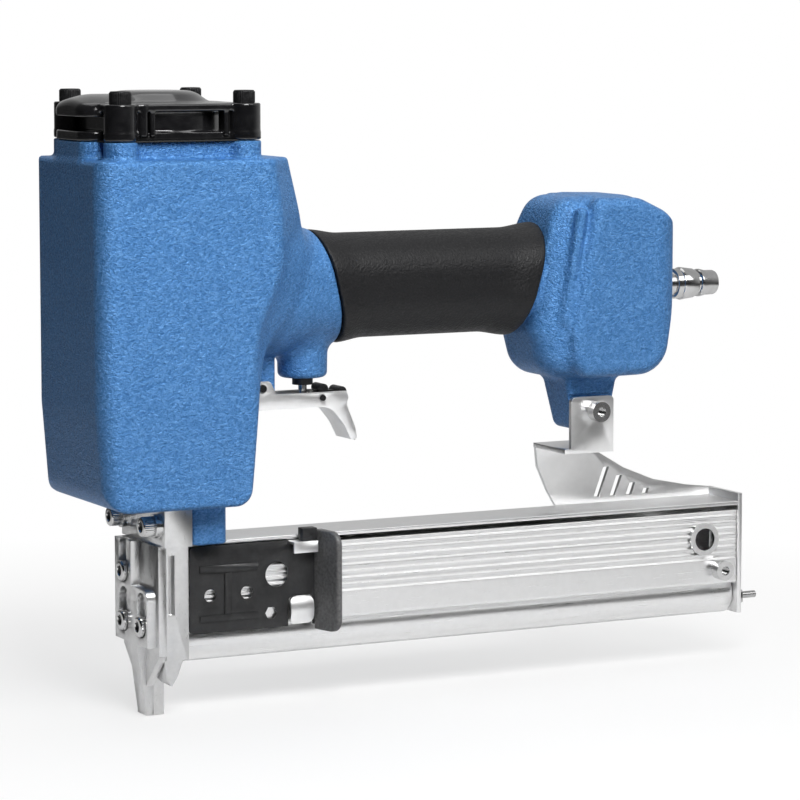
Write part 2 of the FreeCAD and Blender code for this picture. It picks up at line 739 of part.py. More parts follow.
def air_plug():
    """The push-fit plug that the air hose couples to."""
    body = new_body("air_plug")
    start = d.handle_end + 26
    end, shoulder = d.plug_end, d.block_back + 3
    corners = [
        (start, d.plug_bore), (end, d.plug_bore), (end, 5.0), (end - 1, 5.4), (end - 9, 5.4),
        (end - 11, 5.8), (end - 11.8, 5.8), (end - 12.2, 5), (end - 12.8, 5), (end - 13.2, 6.1),
        (end - 20, 6.8), (end - 20.6, d.plug_thread), (shoulder, d.plug_thread), (shoulder, 7.2),
        (d.block_back, 7.2), (d.block_back, d.plug_thread), (start, d.plug_thread),
    ]
    profile(body, "plug_profile", corners, "H_Axis")
    place(body, 0, 0, d.plug_height)
    return body


# ---------------------------------------------------------------- head


def head_cap():
    body = new_body("head_cap")
    plan = rectangle((-d.collar_front, d.collar_back), (-d.collar_half, d.collar_half), 9)
    slab(body, "cap_base", "XY_Plane", plan, 3.5, offset=cap_low)
    drum = new_sketch(body, "XY_Plane", "drum", cap_low + 3)
    add_circle(drum, d.cap_centre - 1, 0, d.drum_radius)
    pad(body, drum, d.cap_high - 4)
    slab(body, "cap_flange", "XY_Plane", plan, 3, offset=cap_top - 3)
    posts = new_sketch(body, "XY_Plane", "posts", cap_low)
    for x, y in cap_bolts:
        add_circle(posts, x, y, d.post_radius)
    pad(body, posts, d.cap_high)
    dome = body.newObject("PartDesign::AdditiveCone", "dome")
    dome.Radius1 = 21
    dome.Radius2 = 14
    bind(dome, "Height", d.dome_high + 1)
    place(dome, d.cap_centre - 1, 0, cap_top - 1)
    doc.recompute()
    hood = [
        (-d.drum_radius + 6, cap_top + 3.5), (-d.hood_front + 4, cap_top + 3.5, 4),
        (-d.hood_front, cap_top - 3, 3), (-d.hood_front, cap_low + 3), (-d.hood_front + 2.5, cap_low + 3),
        (-d.hood_front + 2.5, cap_low + 7), (-d.collar_front + 2, cap_low + 7),
        (-d.drum_radius + 6, cap_low + 3),
    ]
    slab(body, "exhaust_hood", "XZ_Plane", hood, 2 * d.hood_half, symmetric=True)
    skirt = new_sketch(body, "XY_Plane", "guide_skirt", d.sleeve_top + 4)
    add_circle(skirt, 0, 0, d.chamber_radius - d.hole_gap)
    pad(body, skirt, cap_low + 1 - d.sleeve_top - 4)
    valve_space = [(0, 0, d.valve_radius + d.run_gap)]
    deep = cap_low + 9 - d.sleeve_top - 3
    drill(body, "valve_space", "XY_Plane", valve_space, deep, d.sleeve_top + 3, reverse=True)
    bolts = [(x, y, screw_hole) for x, y in cap_bolts]
    drill(body, "bolt_holes", "XY_Plane", bolts, d.cap_high + 2, cap_low - 1, reverse=True)
    return body


def cap_gasket():
    body = new_body("cap_gasket")
    plan = rectangle((-d.collar_front, d.collar_back), (-d.collar_half, d.collar_half), 9)
    slab(body, "sheet", "XY_Plane", plan, d.gasket_thick, offset=collar_top)
    holes = [(x, y, screw_hole) for x, y in cap_bolts] + [(0, 0, d.chamber_radius)]
    drill(body, "gasket_holes", "XY_Plane", holes, 3, collar_top - 1, reverse=True)
    return body


def cap_screws():
    screws = [
        socket_screw("cap_screw_%d" % i, "z", at, cap_top, 30, 1) for i, at in enumerate(cap_bolts)
    ]
    return group("cap_screws", screws)


# ---------------------------------------------------------------- cylinder, piston and driver


def cylinder_sleeve():
    body = new_body("cylinder_sleeve")
    inner, outer = d.cylinder_radius, sleeve_outer
    collar = d.chamber_radius - 0.5
    corners = [(inner, sleeve_low), (outer, sleeve_low)]
    for at in (sleeve_low + 7, sleeve_low + 15):
        corners += [(outer, at), (outer - 1.7, at), (outer - 1.7, at + 2.2), (outer, at + 2.2)]
    corners += [
        (outer, d.sleeve_top - 14), (collar, d.sleeve_top - 14), (collar, d.sleeve_top - 10),
        (outer, d.sleeve_top - 10), (outer, d.sleeve_top), (inner, d.sleeve_top),
    ]
    profile(body, "sleeve_profile", corners)
    return body


def cylinder_seals():
    heights = (sleeve_low + 8.1, sleeve_low + 16.1)
    rings = [
        ring("cylinder_seal_%d" % i, "z", (0, 0), sleeve_outer - 0.65, d.ring_radius, at)
        for i, at in enumerate(heights)
    ]
    return group("cylinder_seals", rings)


def bumper():
    body = new_body("bumper")
    outer, inner = d.cylinder_radius - 0.2, 7
    corners = [
        (inner, sleeve_low), (outer, sleeve_low), (outer, bumper_top - 8), (outer - 3, bumper_top),
        (inner + 3, bumper_top), (inner, bumper_top - 3),
    ]
    profile(body, "bumper_profile", corners)
    return body


def piston():
    body = new_body("piston")
    outer = d.cylinder_radius - d.run_gap
    groove = piston_low + 7
    corners = [
        (0, piston_low), (9, piston_low), (12, piston_low + 3), (outer, piston_low + 3), (outer, groove),
        (outer - 1.8, groove), (outer - 1.8, groove + 2.2), (outer, groove + 2.2), (outer, piston_top),
        (8, piston_top), (6, piston_top - 3), (0, piston_top - 3),
    ]
    profile(body, "piston_profile", corners)
    half, thick = d.driver_wide / 2 + 0.1, d.driver_thick / 2 + 0.1
    slot = rectangle((-thick, thick), (-half, half))
    window(body, "blade_slot", "XY_Plane", slot, 9.1, piston_low - 1, reverse=True)
    drill(body, "pin_hole", "YZ_Plane", [(0, piston_low + 4.5, 1.6)], 60, symmetric=True)
    return body


def piston_seal():
    middle = d.cylinder_radius - d.run_gap - 0.8
    return ring("piston_ring", "z", (0, 0), middle, d.ring_radius, piston_low + 8.1)


def driver_blade():
    thick, half = d.driver_thick / 2, d.driver_wide / 2
    blade = box("blade", (-thick, thick), (-half, half), (driver_tip, blade_root))
    hole = rod("blade_hole", "x", (0, piston_low + 4.5), 1.6, -thick - 1, thick + 1)
    return cut("driver", blade, hole)


def driver_pin():
    return rod("driver_roll_pin", "x", (0, piston_low + 4.5), 1.5, -14, 14)


def head_valve():
    body = new_body("head_valve")
    low = d.sleeve_top + d.run_gap
    top = low + d.valve_high
    outer = d.valve_radius
    groove = low + 7
    corners = [
        (0, low), (outer, low), (outer, groove), (outer - 2.2, groove), (outer - 2.2, groove + 2.4),
        (outer, groove + 2.4), (outer, top), (15, top), (15, low + 5), (0, low + 5),
    ]
    profile(body, "valve_profile", corners)
    return body


def head_valve_seal():
    at = d.sleeve_top + d.run_gap + 8.2
    return ring("head_valve_ring", "z", (0, 0), d.valve_radius - 1, 1, at)


def head_valve_spring():
    start = d.sleeve_top + d.run_gap + 5
    return coil("head_spring", "z", (0, 0), 11, 0.8, start, cap_low + 9 - d.run_gap, 4)


# ---------------------------------------------------------------- nose


def nose_body():
    body = new_body("nose_body")
    seam, back, half = -d.nose_seam, d.nose_back, d.nose_half
    front = [
        (-d.tip_half, 0), (d.tip_half, 0), (d.tip_half, d.nose_low - 2), (half, d.nose_low),
        (half, d.neck_low), (-half, d.neck_low), (-half, d.nose_low), (-d.tip_half, d.nose_low - 2),
    ]
    slab(body, "tip_and_block", "YZ_Plane", front, d.tip_back - seam, offset=seam)
    block = rectangle((-half, half), (d.nose_low, d.neck_low))
    slab(body, "block", "YZ_Plane", block, back - seam, offset=seam)
    toe = [
        (seam + 1.5, d.nose_low - 9), (seam + 3.5, d.nose_low - 11), (back - 3.5, d.nose_low - 7),
        (back - 1, d.nose_low), (seam, d.nose_low),
    ]
    slab(body, "toe", "XZ_Plane", toe, 2 * half - 6, symmetric=True)
    flange = rectangle((-d.neck_half, d.neck_half), (d.neck_low, d.body_floor))
    slab(body, "flange", "YZ_Plane", flange, d.neck_front + d.flange_front, offset=-d.flange_front)
    channel = rectangle((seam, -seam), (-d.driver_wide / 2 - 0.4, d.driver_wide / 2 + 0.4))
    window(body, "driver_channel", "XY_Plane", channel, d.body_floor + 2, -1, reverse=True)
    nails = rectangle((-1.9, 1.9), (d.rail_low + 3, d.cover_low))
    window(body, "nail_slot", "YZ_Plane", nails, back + 1, reverse=True)
    for side in (-1, 1):
        x, y = (seam + 1, seam + 3.6), (side * half, side * (half - 4))
        low, high = (y[0], y[1]) if side < 0 else (y[1], y[0])
        slot = rectangle(x, (low, high))
        window(body, "side_slot_%d" % (side + 1), "XY_Plane", slot, 24, 42, reverse=True)
    threads = [(y, z, screw_hole) for y, z in nose_screws]
    drill(body, "screw_threads", "YZ_Plane", threads, back - seam + 2, seam - 1, reverse=True)
    holes = [(side * d.flange_screw_side, d.flange_screw_height, screw_hole) for side in (-1, 1)]
    drill(body, "flange_holes", "YZ_Plane", holes, 20, -d.flange_front - 1, reverse=True)
    return body


def nose_front_plate():
    body = new_body("nose_front_plate")
    seam, half, tip = -d.nose_seam, d.nose_half, d.tip_half
    face = seam - d.front_thick
    plate = [
        (-tip, 0), (tip, 0), (tip, 12), (half, d.nose_low + 2), (half, d.neck_low),
        (-half, d.neck_low), (-half, d.nose_low + 2), (-tip, 12),
    ]
    slab(body, "plate", "YZ_Plane", plate, d.front_thick, offset=face)
    boss = [
        (-half + 3, 29), (half, 29), (half, d.neck_low), (1.5, d.neck_low), (1.5, 52), (-half + 3, 52, 4),
    ]
    slab(body, "boss", "YZ_Plane", boss, d.front_boss + 0.5, offset=face - d.front_boss)
    ridge = [(face + 1, 1), (face, 1), (face - d.front_boss, 29), (face - d.front_boss, 40), (face + 1, 40)]
    slab(body, "ridge", "XZ_Plane", ridge, 2 * tip, symmetric=True)
    slots = new_sketch(body, "YZ_Plane", "head_slots", face - 0.6)
    for y, z in nose_screws:
        add_stadium(slots, y, z + 4.5, 18.2, 9.2)
    pocket(body, slots)
    holes = [(y, z, screw_hole) for y, z in nose_screws]
    drill(body, "screw_holes", "YZ_Plane", holes, 12, face - d.front_boss - 1, reverse=True)
    return body


def nose_fixings():
    seat = -d.nose_seam - d.front_thick - 0.6
    screws = [
        socket_screw("nose_screw_%d" % i, "x", at, seat, 12, -1) for i, at in enumerate(nose_screws)
    ]
    return group("nose_fixings", screws)


def flange_places():
    return [(side * d.flange_screw_side, d.flange_screw_height) for side in (-1, 1)]


def flange_fixings():
    seat = -d.flange_front - d.washer_thick
    screws = [
        socket_screw("flange_screw_%d" % i, "x", at, seat, 26, -1) for i, at in enumerate(flange_places())
    ]
    return group("flange_fixings", screws)


def flange_washers():
    start, end = -d.flange_front - d.washer_thick, -d.flange_front
    rings = [
        tube("flange_washer_%d" % i, "x", at, d.screw_head + 0.5, screw_hole, start, end)
        for i, at in enumerate(flange_places())
    ]
    return group("flange_washer_pair", rings)


# ---------------------------------------------------------------- magazine


def magazine_rail():
    body = new_body("magazine_rail")
    start, half, wall = d.rail_start, d.rail_half, d.rail_wall
    floor = d.rail_low + 4
    section = [
        (-half, d.rail_low), (half, d.rail_low), (half, d.cover_low), (half - wall, d.cover_low),
        (half - wall, floor), (-half + wall, floor), (-half + wall, d.rail_top), (-half, d.rail_top),
    ]
    slab(body, "channel", "YZ_Plane", section, d.rail_end - start, offset=start)
    tube_round = new_sketch(body, "YZ_Plane", "tube_round", start)
    add_circle(tube_round, 0, d.tube_height, d.tube_radius)
    pad(body, tube_round, d.rail_end - start)
    guides = new_sketch(body, "YZ_Plane", "nail_guides", start)
    add_outline(guides, rectangle((-4.5, -2), (floor - 1, floor + 12)))
    add_outline(guides, rectangle((2, 4.5), (floor - 1, floor + 12)))
    pad(body, guides, d.rail_end - start)
    drill(body, "spring_bore", "YZ_Plane", [(0, d.tube_height, d.tube_bore)], None, start - 1, reverse=True)
    slot = rectangle((-2, 2), (d.tube_height, floor + 1))
    window(body, "foot_slot", "YZ_Plane", slot, None, start - 1, reverse=True)
    front = rectangle((start - 1, d.rail_cut), (floor, d.rail_top + 1))
    window(body, "loading_gap", "XZ_Plane", front, 4, half - wall - 1, reverse=True)
    rear_holes = [
        (d.grommet_x, d.grommet_height, d.grommet_bore), (d.rear_screw_x, d.rear_screw_height, screw_hole),
    ]
    drill(body, "rear_holes", "XZ_Plane", rear_holes, 4, half - wall - 1, reverse=True)
    first = rectangle((d.rail_cut - 1, d.rail_end + 1), (d.flute_low, d.flute_low + d.flute_wide))
    flute = window(body, "flute", "XZ_Plane", first, 1, half - d.flute_deep, reverse=True)
    pattern = body.newObject("PartDesign::LinearPattern", "flutes")
    pattern.Originals = [flute]
    pattern.Direction = (doc.getObject("flute"), ["V_Axis"])
    bind(pattern, "Length", d.flute_pitch * 7)
    pattern.Occurrences = 8
    body.Tip = pattern
    doc.recompute()
    return body


def magazine_top_plate():
    x = (d.rail_start, d.rail_end)
    return box("top_plate", x, (-d.rail_half, d.rail_half), (d.cover_low, d.cover_low + d.cover_thick - 0.3))


def spring_rod():
    return rod("guide_rod", "x", (0, d.tube_height), d.rod_radius, d.rail_start, d.rod_end)


def rod_nut():
    start = d.rail_end + 0.1 + d.sheet_thick
    washer = rod("nut_washer", "x", (0, d.tube_height), 5.4, start, start + 1.2)
    nut = doc.addObject("Part::Prism", "nut_hexagon")
    nut.Polygon = 6
    nut.Circumradius = 4.6
    nut.Height = 5
    place(nut, start + 1.2, 0, d.tube_height, turn="x")
    bore = rod("nut_bore", "x", (0, d.tube_height), d.rod_radius + d.hole_gap, start - 1, start + 8)
    return cut("rod_nut_cut", fuse("rod_nut_blank", washer, nut), bore)


def magazine_grommet():
    at = (d.grommet_x, d.grommet_height)
    return tube("grommet", "y", at, d.grommet_bore + 2.2, d.grommet_bore, -d.rail_half - 1.2, -d.rail_half)


def magazine_screw():
    return socket_screw("rear_screw", "y", (d.rear_screw_x, d.rear_screw_height), -d.rail_half, 1.8, -1)


# ---------------------------------------------------------------- pusher


def pusher_side_plate():
    body = new_body("pusher_side_plate")
    front, back, step = d.pusher_front, d.guard_front + d.guard_root, d.tab_gap_front + 0.2
    outline = [
        (front, d.pusher_low, 1.5), (back, d.pusher_low), (back, d.rail_top + 0.4),
        (step, d.rail_top + 0.4), (step, d.plate_high), (front, d.plate_high, 1.5),
    ]
    slab(body, "side_plate", "XZ_Plane", outline, d.pusher_thick, offset=plate_out)
    deep = d.pusher_thick + 2
    holes = [(19.9, 47.9, 2.6), (35.9, 48.1, 2.7), (49.1, 54.4, 5.1)]
    drill(body, "plate_holes", "XZ_Plane", holes, deep, plate_out - 1, reverse=True)
    hexagon = [
        (46.5 + 2.7 * math.cos(math.radians(turn)), 38.9 + 2.7 * math.sin(math.radians(turn)))
        for turn in range(0, 360, 60)
    ]
    window(body, "hexagon_hole", "XZ_Plane", hexagon, deep, plate_out - 1, reverse=True)
    cutout = [
        (d.tab_gap_front, d.pusher_low - 1), (d.tab_gap_back, d.pusher_low - 1),
        (d.tab_gap_back, d.tab_gap_top, 2.5), (d.tab_gap_front, d.tab_gap_top, 2.5),
    ]
    window(body, "tab_gap", "XZ_Plane", cutout, deep, plate_out - 1, reverse=True)
    ribs = new_sketch(body, "XZ_Plane", "ribs", plate_out + d.pusher_thick - 0.2)
    add_outline(ribs, [(15.2, 57), (40.5, 57), (40.5, 60), (15.2, 60)])
    add_outline(ribs, [(26, 40.2), (29, 40.2), (29, 56.8), (26, 56.8)])
    add_outline(ribs, [(15.2, 37.5), (40.5, 37.5), (40.5, 40), (15.2, 40)])
    pad(body, ribs, 0.9)
    return body


def pusher_guard():
    """The finger guard that the pusher is drawn back by."""
    body = new_body("pusher_guard")
    root = -(plate_out + d.pusher_thick)
    tip, lean = root - d.guard_out, d.guard_front + d.guard_lean
    plan = [
        (d.guard_front, root), (lean, tip, 0.8), (lean + d.guard_thick, tip, 0.8),
        (d.guard_front + d.guard_root, root),
    ]
    slab(body, "guard", "XY_Plane", plan, d.guard_high - d.guard_low, offset=d.guard_low)
    return body


def pusher_arm():
    """The strip that joins the side plate to the pusher blade over the near wall."""
    low = d.rail_top + 0.4
    high = d.cover_low - 0.4
    edge = -(plate_out + d.pusher_thick) - 3.4
    x = (d.tab_gap_front + 0.6, d.guard_front - 0.1)
    strip = box("strip", x, (edge, 1.6), (low, high))
    lip = box("lip", x, (edge - 1.2, edge + 0.1), (low - 3.4, high))
    return fuse("arm", strip, lip)


def pusher_thumb_pad():
    edge = -(plate_out + d.pusher_thick) - 3.4
    x = (d.pad_front, d.guard_front - 0.1)
    return box("thumb_pad", x, (edge, -d.rail_half - 0.5), (d.cover_low - 0.4, d.pad_top))


def pusher_blade():
    """The tongue behind the last nail, with a foot that rides on the spring rod."""
    top = d.rail_top + 0.4
    tongue = box("tongue", (2.2, d.blade_back), (-1.6, 1.6), (d.rail_low + 5, top))
    x = (d.blade_back - 11, d.blade_back - 1)
    foot = box("foot_web", x, (-1.6, 1.6), (d.tube_height + 2, d.rail_low + 6))
    hub = rod("foot_hub", "x", (0, d.tube_height), d.tube_bore - 0.4, *x)
    bore = rod("foot_bore", "x", (0, d.tube_height), d.rod_radius + d.run_gap, x[0] - 1, x[1] + 1)
    return cut("pusher_tongue", fuse("tongue_blank", tongue, foot, hub), bore)


def pusher_spring():
    start = d.blade_back - 0.9
    return coil("push_spring", "x", (0, d.tube_height), 2.9, 0.5, start, d.rail_end - 0.2, 30)


def pusher_catch():
    """The curved spring tab in the side plate's gap, which hinges at its upper edge."""
    outer = plate_out + d.pusher_thick
    x = (d.tab_gap_front + 0.5, d.tab_gap_back - 0.5)
    across = (-outer + 7, d.tab_gap_top - 5.8)
    outside = rod("catch_round", "x", across, 9, *x)
    inside = rod("catch_hollow", "x", across, 8, x[0] - 1, x[1] + 1)
    keep = new_body("catch_keep")
    front = rectangle(x, (d.tab_gap_top - 11.6, d.tab_gap_top - 0.4), 2.3)
    slab(keep, "catch_front", "XZ_Plane", front, 4.3, offset=outer - 0.3)
    shell = cut("catch_shell", outside, inside)
    tab = doc.addObject("Part::Common", "catch_tab")
    tab.Base = shell
    tab.Tool = keep
    pivot = rod("catch_pivot", "x", (-outer + 0.6, d.tab_gap_top - 0.6), 0.55, x[0] + 3, x[1] - 3)
    return fuse("catch_with_pivot", tab, pivot)


# ---------------------------------------------------------------- rear bracket


def rear_bracket():
    body = new_body("rear_bracket")
    far = d.rail_half + d.sheet_thick
    near = d.foot_half
    tab = rectangle((d.tab_front, d.tab_back), (d.shelf_low, d.tab_top), 2)
    slab(body, "tab", "XZ_Plane", tab, d.sheet_thick, offset=near)
    shelf = rectangle((d.tab_front - 3, d.tab_back), (-near - d.sheet_thick, far))
    slab(body, "shelf", "XY_Plane", shelf, d.sheet_thick, offset=d.shelf_low)
    top = d.shelf_low + d.sheet_thick
    end = d.rail_end + 0.1
    arm = [
        (d.tab_front - 3, top), (d.tab_front - 2, top - 10), (d.tab_front + 3, 76), (d.tab_front + 9, 66),
        (end + 1, 66), (end + 1, 73), (d.tab_back + 52, 74.5), (d.tab_back + 35, 78), (d.tab_back + 20, 84),
        (d.tab_back + 8, 91), (d.tab_back, top),
    ]
    slab(body, "far_arm", "XZ_Plane", arm, d.sheet_thick, offset=-far)
    slots = new_sketch(body, "XZ_Plane", "arm_slots", -far - 1)
    low = d.cover_low + 4
    for index, rise in enumerate((12.8, 8.8, 5.2, 2.4)):
        x, high, lean = d.tab_back + 5 + 8 * index, low + rise, rise * 0.375
        add_outline(slots, [(x, low), (x + 3, low), (x + 3 + lean, high), (x + lean, high)])
    pocket(body, slots, d.sheet_thick + 2, reverse=True)
    plate = rectangle((-d.rail_half, far), (21, 73))
    slab(body, "end_plate", "YZ_Plane", plate, d.sheet_thick, offset=end)
    hole = [(0, d.tube_height, d.rod_radius + d.hole_gap)]
    drill(body, "rod_hole", "YZ_Plane", hole, 10, end - 2, reverse=True)
    bolt = [(d.bracket_bolt_x, d.bracket_bolt_height, screw_hole)]
    drill(body, "bolt_hole_in_tab", "XZ_Plane", bolt, 6, near - 1, reverse=True)
    return body


def bracket_bolt():
    at = (d.bracket_bolt_x, d.bracket_bolt_height)
    return socket_screw("tab_bolt", "y", at, -d.foot_half - d.sheet_thick, 14, -1)


# ---------------------------------------------------------------- trigger and its valve


def trigger():
    body = new_body("trigger")
    floor = d.trigger_floor
    side = [
        (d.pivot_x - 2.7, floor - 1.4), (d.pivot_x + 30, floor - 1.4, 8), (d.pivot_x + 36.2, 112.5, 6),
        (d.pivot_x + 39.4, 106.2), (d.pivot_x + 41.3, 105.8), (d.pivot_x + 42, 107.2),
        (d.pivot_x + 41.3, 111, 3), (d.pivot_x + 37.4, floor - 1, 3), (d.pivot_x + 38.2, floor + 2),
        (d.pivot_x + 37.4, floor + 4.6), (d.pivot_x + 6, floor + 4.6),
        (d.pivot_x + 3.4, d.pivot_height + 2.8, 2), (d.pivot_x - 2.7, d.pivot_height + 2.8, 2),
    ]
    slab(body, "lever", "XZ_Plane", side, 2 * d.trigger_half, symmetric=True)
    inner = d.trigger_half - d.trigger_sheet
    channel = rectangle((d.pivot_x - 4, d.pivot_x + 44), (-inner, inner))
    window(body, "channel_space", "XY_Plane", channel, 14, floor, reverse=True)
    bores = [
        (d.pivot_x, d.pivot_height, d.pivot_radius + 0.06),
        (d.pivot_x + 26.7, floor + 2.3, 1.2 + d.hole_gap),
    ]
    drill(body, "pin_bores", "XZ_Plane", bores, 40, symmetric=True)
    return body


def trigger_pin():
    half = d.trigger_half + 0.8
    return rod("pivot_pin", "y", (d.pivot_x, d.pivot_height), d.pivot_radius, -half, half)


def catch_pin():
    half = d.trigger_half + 0.5
    return rod("catch_axle", "y", (d.pivot_x + 26.7, d.trigger_floor + 2.3), 1.2, -half, half)


def trigger_catch():
    """The small lock lever that rides in the trigger channel."""
    x, z = d.pivot_x + 26.7, d.trigger_floor + 2.3
    hub = rod("catch_hub", "y", (x, z), 2, -1.5, 1.5)
    web = box("catch_web", (x, x + 9.8), (-1.2, 1.2), (z - 0.2, z + 2.4))
    post = box("catch_post", (x + 0.6, x + 2.8), (-1.2, 1.2), (z, z + 3.6))
    knobs = [
        rod("catch_knob_0", "y", (x + 1.9, z + 3.4), 1.9, -4, 4),
        rod("catch_knob_1", "y", (x + 10, z + 1.8), 2.1, -4, 4),
    ]
    bore = rod("catch_hub_bore", "y", (x, z), 1.2 + 0.06, -3, 3)
    return cut("catch_lever", fuse("catch_blank", hub, web, post, *knobs), bore)


def valve_counter():
    """Height of the step in the valve body that the stem's collar rests on."""
    return d.boss_low + 6


def valve_top():
    return d.boss_low + 24


def valve_body():
    body = new_body("valve_body")
    end, seat, counter, top = d.boss_low - 3, d.boss_low, valve_counter(), valve_top()
    corners = [
        (d.stem_radius + d.run_gap, end), (4.2, end), (4.2, seat), (6.1, seat), (6.1, top), (4, top),
        (4, counter), (d.stem_radius + d.run_gap, counter),
    ]
    profile(body, "valve_body_profile", corners)
    place(body, d.valve_x, 0, 0)
    return body


def valve_stem():
    low, counter = d.trigger_floor + d.run_gap, valve_counter()
    shaft = rod("stem_shaft", "z", (d.valve_x, 0), d.stem_radius, low, counter + 2)
    collar = rod("stem_collar", "z", (d.valve_x, 0), 3.5, counter + d.run_gap, counter + 2)
    return fuse("stem", shaft, collar)


def valve_top_plug():
    return tube("valve_plug", "z", (d.valve_x, 0), 3.95, 1.2, valve_top() - 2.5, valve_top())


def valve_spring():
    low, high = valve_counter() + 2, valve_top() - 2.5
    return coil("stem_spring", "z", (d.valve_x, 0), 2.6, 0.4, low, high, 5)


PIECES = [
    housing, handle_end_block, grip_sleeve, air_plug, head_cap, cap_gasket, cap_screws, cylinder_sleeve,
    cylinder_seals, bumper, piston, piston_seal, driver_blade, driver_pin, head_valve, head_valve_seal,
    head_valve_spring, nose_body, nose_front_plate, nose_fixings, flange_fixings, flange_washers,
    magazine_rail, magazine_top_plate, spring_rod, rod_nut, magazine_grommet, magazine_screw,
    pusher_side_plate, pusher_guard, pusher_arm, pusher_thumb_pad, pusher_blade, pusher_spring,
    pusher_catch, rear_bracket, bracket_bolt, trigger, trigger_pin, catch_pin, trigger_catch,
    valve_body, valve_stem, valve_top_plug, valve_spring,
]


def check_document():
    for thing in doc.Objects:
        if "Invalid" in thing.State or "Error" in thing.State:
            raise ValueError("%s failed: %s" % (thing.Name, thing.State))


def write_piece(thing, label):
    shape = thing.Shape
    if shape.isNull() or not shape.isValid() or not shape.Solids:
        raise ValueError(label + " has no valid solid")
    print("%-22s %d solids %10.1f mm3" % (label, len(shape.Solids), shape.Volume))
    shape.exportStep("parts/%s.step" % label)


def main():
    made = []
    for maker in PIECES:
        thing = maker()
        thing.Label = maker.__name__ if thing.Name == maker.__name__ else maker.__name__ + "_piece"
        made.append((thing, maker.__name__))
    doc.recompute()
    check_document()
    os.makedirs("parts", exist_ok=True)
    for thing, label in made:
        write_piece(thing, label)


main()
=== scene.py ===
import json
import math

import bpy
import numpy as np
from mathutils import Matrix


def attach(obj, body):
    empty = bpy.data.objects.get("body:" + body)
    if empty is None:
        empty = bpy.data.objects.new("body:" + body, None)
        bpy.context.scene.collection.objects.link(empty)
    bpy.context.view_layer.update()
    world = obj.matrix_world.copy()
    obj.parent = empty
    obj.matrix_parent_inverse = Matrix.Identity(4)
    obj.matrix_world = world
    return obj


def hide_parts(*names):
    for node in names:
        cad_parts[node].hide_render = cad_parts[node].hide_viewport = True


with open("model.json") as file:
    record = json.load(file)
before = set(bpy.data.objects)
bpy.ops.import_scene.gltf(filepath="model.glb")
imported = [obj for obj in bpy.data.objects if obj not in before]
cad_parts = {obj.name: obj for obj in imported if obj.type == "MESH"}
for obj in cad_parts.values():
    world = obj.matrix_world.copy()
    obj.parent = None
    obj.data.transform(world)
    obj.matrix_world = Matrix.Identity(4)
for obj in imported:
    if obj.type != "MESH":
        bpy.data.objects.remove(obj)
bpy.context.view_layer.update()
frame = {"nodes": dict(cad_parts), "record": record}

import openvdb
from mathutils import Matrix, Vector

# A pneumatic nail gun. Shapes are worked out in millimetres in the CAD model's frame and
# become meshes in metres. CELL is the step of a carved block that asks for no other.
MM = 0.001
CELL = 0.6
CORNER_STEPS = 8

# ---------------------------------------------------------------- carved shapes


class Block:
    """A block of space in small cells. Shapes in it are signed distances in millimetres."""

    def __init__(self, low, high, cell=CELL, cell_along=None):
        self.cell = cell
        self.steps = np.array((cell_along or cell, cell, cell))
        self.low = np.array(low) - 2 * self.steps
        axes = [
            np.arange(start, end + 3 * step, step, dtype=np.float32)
            for start, end, step in zip(self.low, high, self.steps)
        ]
        self.x = axes[0][:, None, None]
        self.y = axes[1][None, :, None]
        self.z = axes[2][None, None, :]
        self.counts = tuple(len(axis) for axis in axes)

    def mesh(self, name, shape):
        """The surface of a shape as a smooth mesh object."""
        reach = 3 * self.cell
        cells = np.clip(np.broadcast_to(shape, self.counts), -reach, reach)
        grid = openvdb.FloatGrid(reach)
        grid.copyFromArray(np.ascontiguousarray(cells, dtype=np.float32))
        points, quads = grid.convertToQuads(0.0)
        points = (points * self.steps + self.low) * MM
        corners = [points[quads[:, i]] for i in range(4)]
        across = np.cross(corners[2] - corners[0], corners[3] - corners[1])
        if (across * (corners[0] + corners[2])).sum() < 0:
            quads = quads[:, ::-1]
        return new_object(name, points.tolist(), quads.tolist())


def new_object(name, points, faces):
    """A smooth mesh object in the scene."""
    mesh = bpy.data.meshes.new(name)
    mesh.from_pydata(points, [], faces)
    mesh.validate()
    mesh.polygons.foreach_set("use_smooth", [True] * len(mesh.polygons))
    thing = bpy.data.objects.new(name, mesh)
    bpy.context.scene.collection.objects.link(thing)
    return thing


def both(a, b, radius=0.0):
    """The space inside both shapes, with the edge between them rounded."""
    if not radius:
        return np.maximum(a, b)
    corner = np.hypot(np.maximum(a + radius, 0), np.maximum(b + radius, 0))
    return np.minimum(np.maximum(a, b), -radius) + corner


def either(a, b, radius=0.0):
    """The two shapes joined, with a fillet where they meet."""
    if not radius:
        return np.minimum(a, b)
    corner = np.hypot(np.maximum(radius - a, 0), np.maximum(radius - b, 0))
    return np.maximum(np.minimum(a, b), radius) - corner


def without(a, b, radius=0.0):
    """The first shape with the second cut out of it."""
    return both(a, -b, radius)


def between(axis, low, high):
    return np.maximum(low - axis, axis - high)


def slab(flat, axis, low, high, radius=0.0):
    """A flat outline carried along an axis, with its rims rounded."""
    return both(flat, between(axis, low, high), radius)


def disc(u, v, centre, radius):
    return np.hypot(u - centre[0], v - centre[1]) - radius


def oblong(u, v, centre, wide, tall):
    """An upright oblong with half-round ends."""
    straight = np.maximum(np.abs(v - centre[1]) - (tall - wide) / 2, 0)
    return np.hypot(u - centre[0], straight) - wide / 2


def capsule(block, start, end, radius):
    """A round bar with domed ends between two points."""
    start, end = np.array(start, float), np.array(end, float)
    run = end - start
    offsets = [axis - float(at) for axis, at in zip((block.x, block.y, block.z), start)]
    share = sum(o * float(r) for o, r in zip(offsets, run)) / float(run @ run)
    share = np.clip(share, 0, 1)
    square = sum((o - share * float(r)) ** 2 for o, r in zip(offsets, run))
    return np.sqrt(square) - radius


